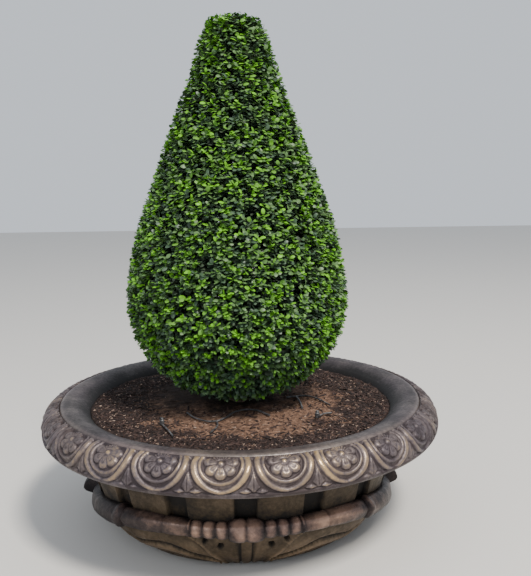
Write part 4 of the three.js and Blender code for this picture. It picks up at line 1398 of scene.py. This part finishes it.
def shoot_leaves(layer):
    """Places, directions, lengths, ages and shoots of all leaves of a layer, before the clipping."""
    tips, direction, normal, random = all_shoots[layer]
    count = len(tips)
    start_side = unit(np.cross(direction, np.array([0.2, 0.1, 0.97]) + 0 * direction))
    other_side = np.cross(direction, start_side)
    roll = random.uniform(0, np.pi, count)
    places, headings, faces, lengths, ages, shoots = [], [], [], [], [], []
    for pair in range(LEAF_PAIRS):
        for hand in (0, np.pi):
            turn = roll + hand + pair * np.pi / 2 + random.normal(0, 0.18, count)
            side = start_side * np.cos(turn)[:, None] + other_side * np.sin(turn)[:, None]
            lean = random.normal(SIDE_LEAN if pair else TIP_LEAN, 0.3, count)[:, None]
            heading = unit((direction * np.cos(lean) + side * np.sin(lean)) * (1, 1, LEAF_LEVEL))
            face = FACE_OUT * normal + (0, 0, FACE_UP) + random.normal(0, 0.32, (count, 3))
            face = face - heading * (face * heading).sum(axis=1, keepdims=True)
            back = (pair * LEAF_GAP + random.uniform(-2, 2, count))[:, None]
            places.append(tips - direction * np.maximum(back, 0))
            headings.append(heading)
            faces.append(unit(face))
            lengths.append(LEAF_LENGTH * GROWTH[pair] * random.uniform(*LEAF_SIZES, count))
            ages.append(np.full(count, pair))
            shoots.append(np.arange(count))
    return (np.concatenate(rows) for rows in (places, headings, faces, lengths, ages, shoots))


def under_skin(places, headings, lengths):
    """True for each leaf whose tip and middle pass the skin by a few millimetres at most."""
    kept = np.ones(len(places), bool)
    for share in (0.5, 1.0):
        spot = places + headings * (lengths * share)[:, None]
        radius = np.hypot(spot[:, 0] - CROWN_OFFSET_X, spot[:, 1])
        limit = np.maximum(skin_limit(spot[:, 2]), skin_limit(spot[:, 2] + LEAF_DROOP))
        kept &= radius < limit + LEAF_SPARE
    return kept


# %% Leaf paints
SOFT_SHINE, WAXY_SHINE = 0.2, 0.36
LEAF_COLOURS = {
    "shaded": (0.050, 0.070, 0.044),
    "old": (0.046, 0.085, 0.047),
    "grown": (0.078, 0.153, 0.050),
    "fresh": (0.096, 0.238, 0.029),
    "young": (0.128, 0.355, 0.020),
}


def leaf_paint(kind, colour):
    """A plain leaf colour with a waxy shine, stronger on the tough old leaves."""
    shine = SOFT_SHINE if kind in ("fresh", "young") else WAXY_SHINE
    paint, _, shader = new_paint(f"leaf_{kind}", 0.45, shine)
    shader.inputs["Base Color"].default_value = (*colour, 1)
    return paint


LEAF_PAINTS = {kind: leaf_paint(kind, colour) for kind, colour in LEAF_COLOURS.items()}


# %% Deal the leaves to their kinds
KIND_NAMES = list(LEAF_COLOURS)
LOW_LEAVES = (500, 700)
LOW_SHADE = 0.3
KIND_LIMITS = [-0.12, 0.22, 0.46, 0.62]


def leaf_kinds(layer, heights, ages, shoots, count, seed):
    """A kind for each leaf: fresh growth at the tips of bright shoots, old leaves behind, and the dark
    shaded kind low down and deep inside as painted shade.
    """
    random = np.random.default_rng(seed)
    bright = random.random(count)[shoots]
    chance = random.random(len(ages))
    # Deep in the crown the leaves get only the shaded and old kinds; the shaded kind is painted shade.
    if layer == "inner":
        return np.where(chance < 0.7, 0, 1)
    light = 0.55 * bright + 0.45 * chance - 0.09 * ages
    low, high = LOW_LEAVES
    light = light - LOW_SHADE * np.clip((high - heights) / (high - low), 0, 1)
    kinds = np.digitize(light, KIND_LIMITS)
    kinds[ages == LEAF_PAIRS - 1] = 0
    return kinds


dealt = {kind: [] for kind in KIND_NAMES}
for layer in SHOOT_LAYERS:
    places, headings, faces, lengths, ages, shoots = shoot_leaves(layer)
    kept = under_skin(places, headings, lengths)
    kinds = leaf_kinds(layer, places[:, 2], ages, shoots, len(all_shoots[layer][0]), SEED + 80)
    for number, kind in enumerate(KIND_NAMES):
        chosen = kept & (kinds == number)
        across = np.cross(headings[chosen], faces[chosen])
        axes = np.stack([across, headings[chosen], faces[chosen]], axis=1)
        dealt[kind].append((places[chosen], axes, lengths[chosen]))
    print(layer, "leaves", int(kept.sum()), "of", len(kept))

# %% Join the leaves of each kind into pieces
MOST_LEAVES = 19000
for kind in KIND_NAMES:
    places, axes, lengths = (np.concatenate(rows) for rows in zip(*dealt[kind]))
    pieces = int(np.ceil(len(places) / MOST_LEAVES))
    for part in range(pieces):
        rows = slice(part, None, pieces)
        sizes = np.repeat(lengths[rows, None], 3, axis=1)
        points, triangles = dealt_copies(LEAF, LEAF_FACES, places[rows], axes[rows], sizes)
        leaves = mesh_from_arrays(f"leaves_{kind}_{part + 1}", points, triangles)
        finish_piece(leaves, LEAF_PAINTS[kind], "foliage", "crown")
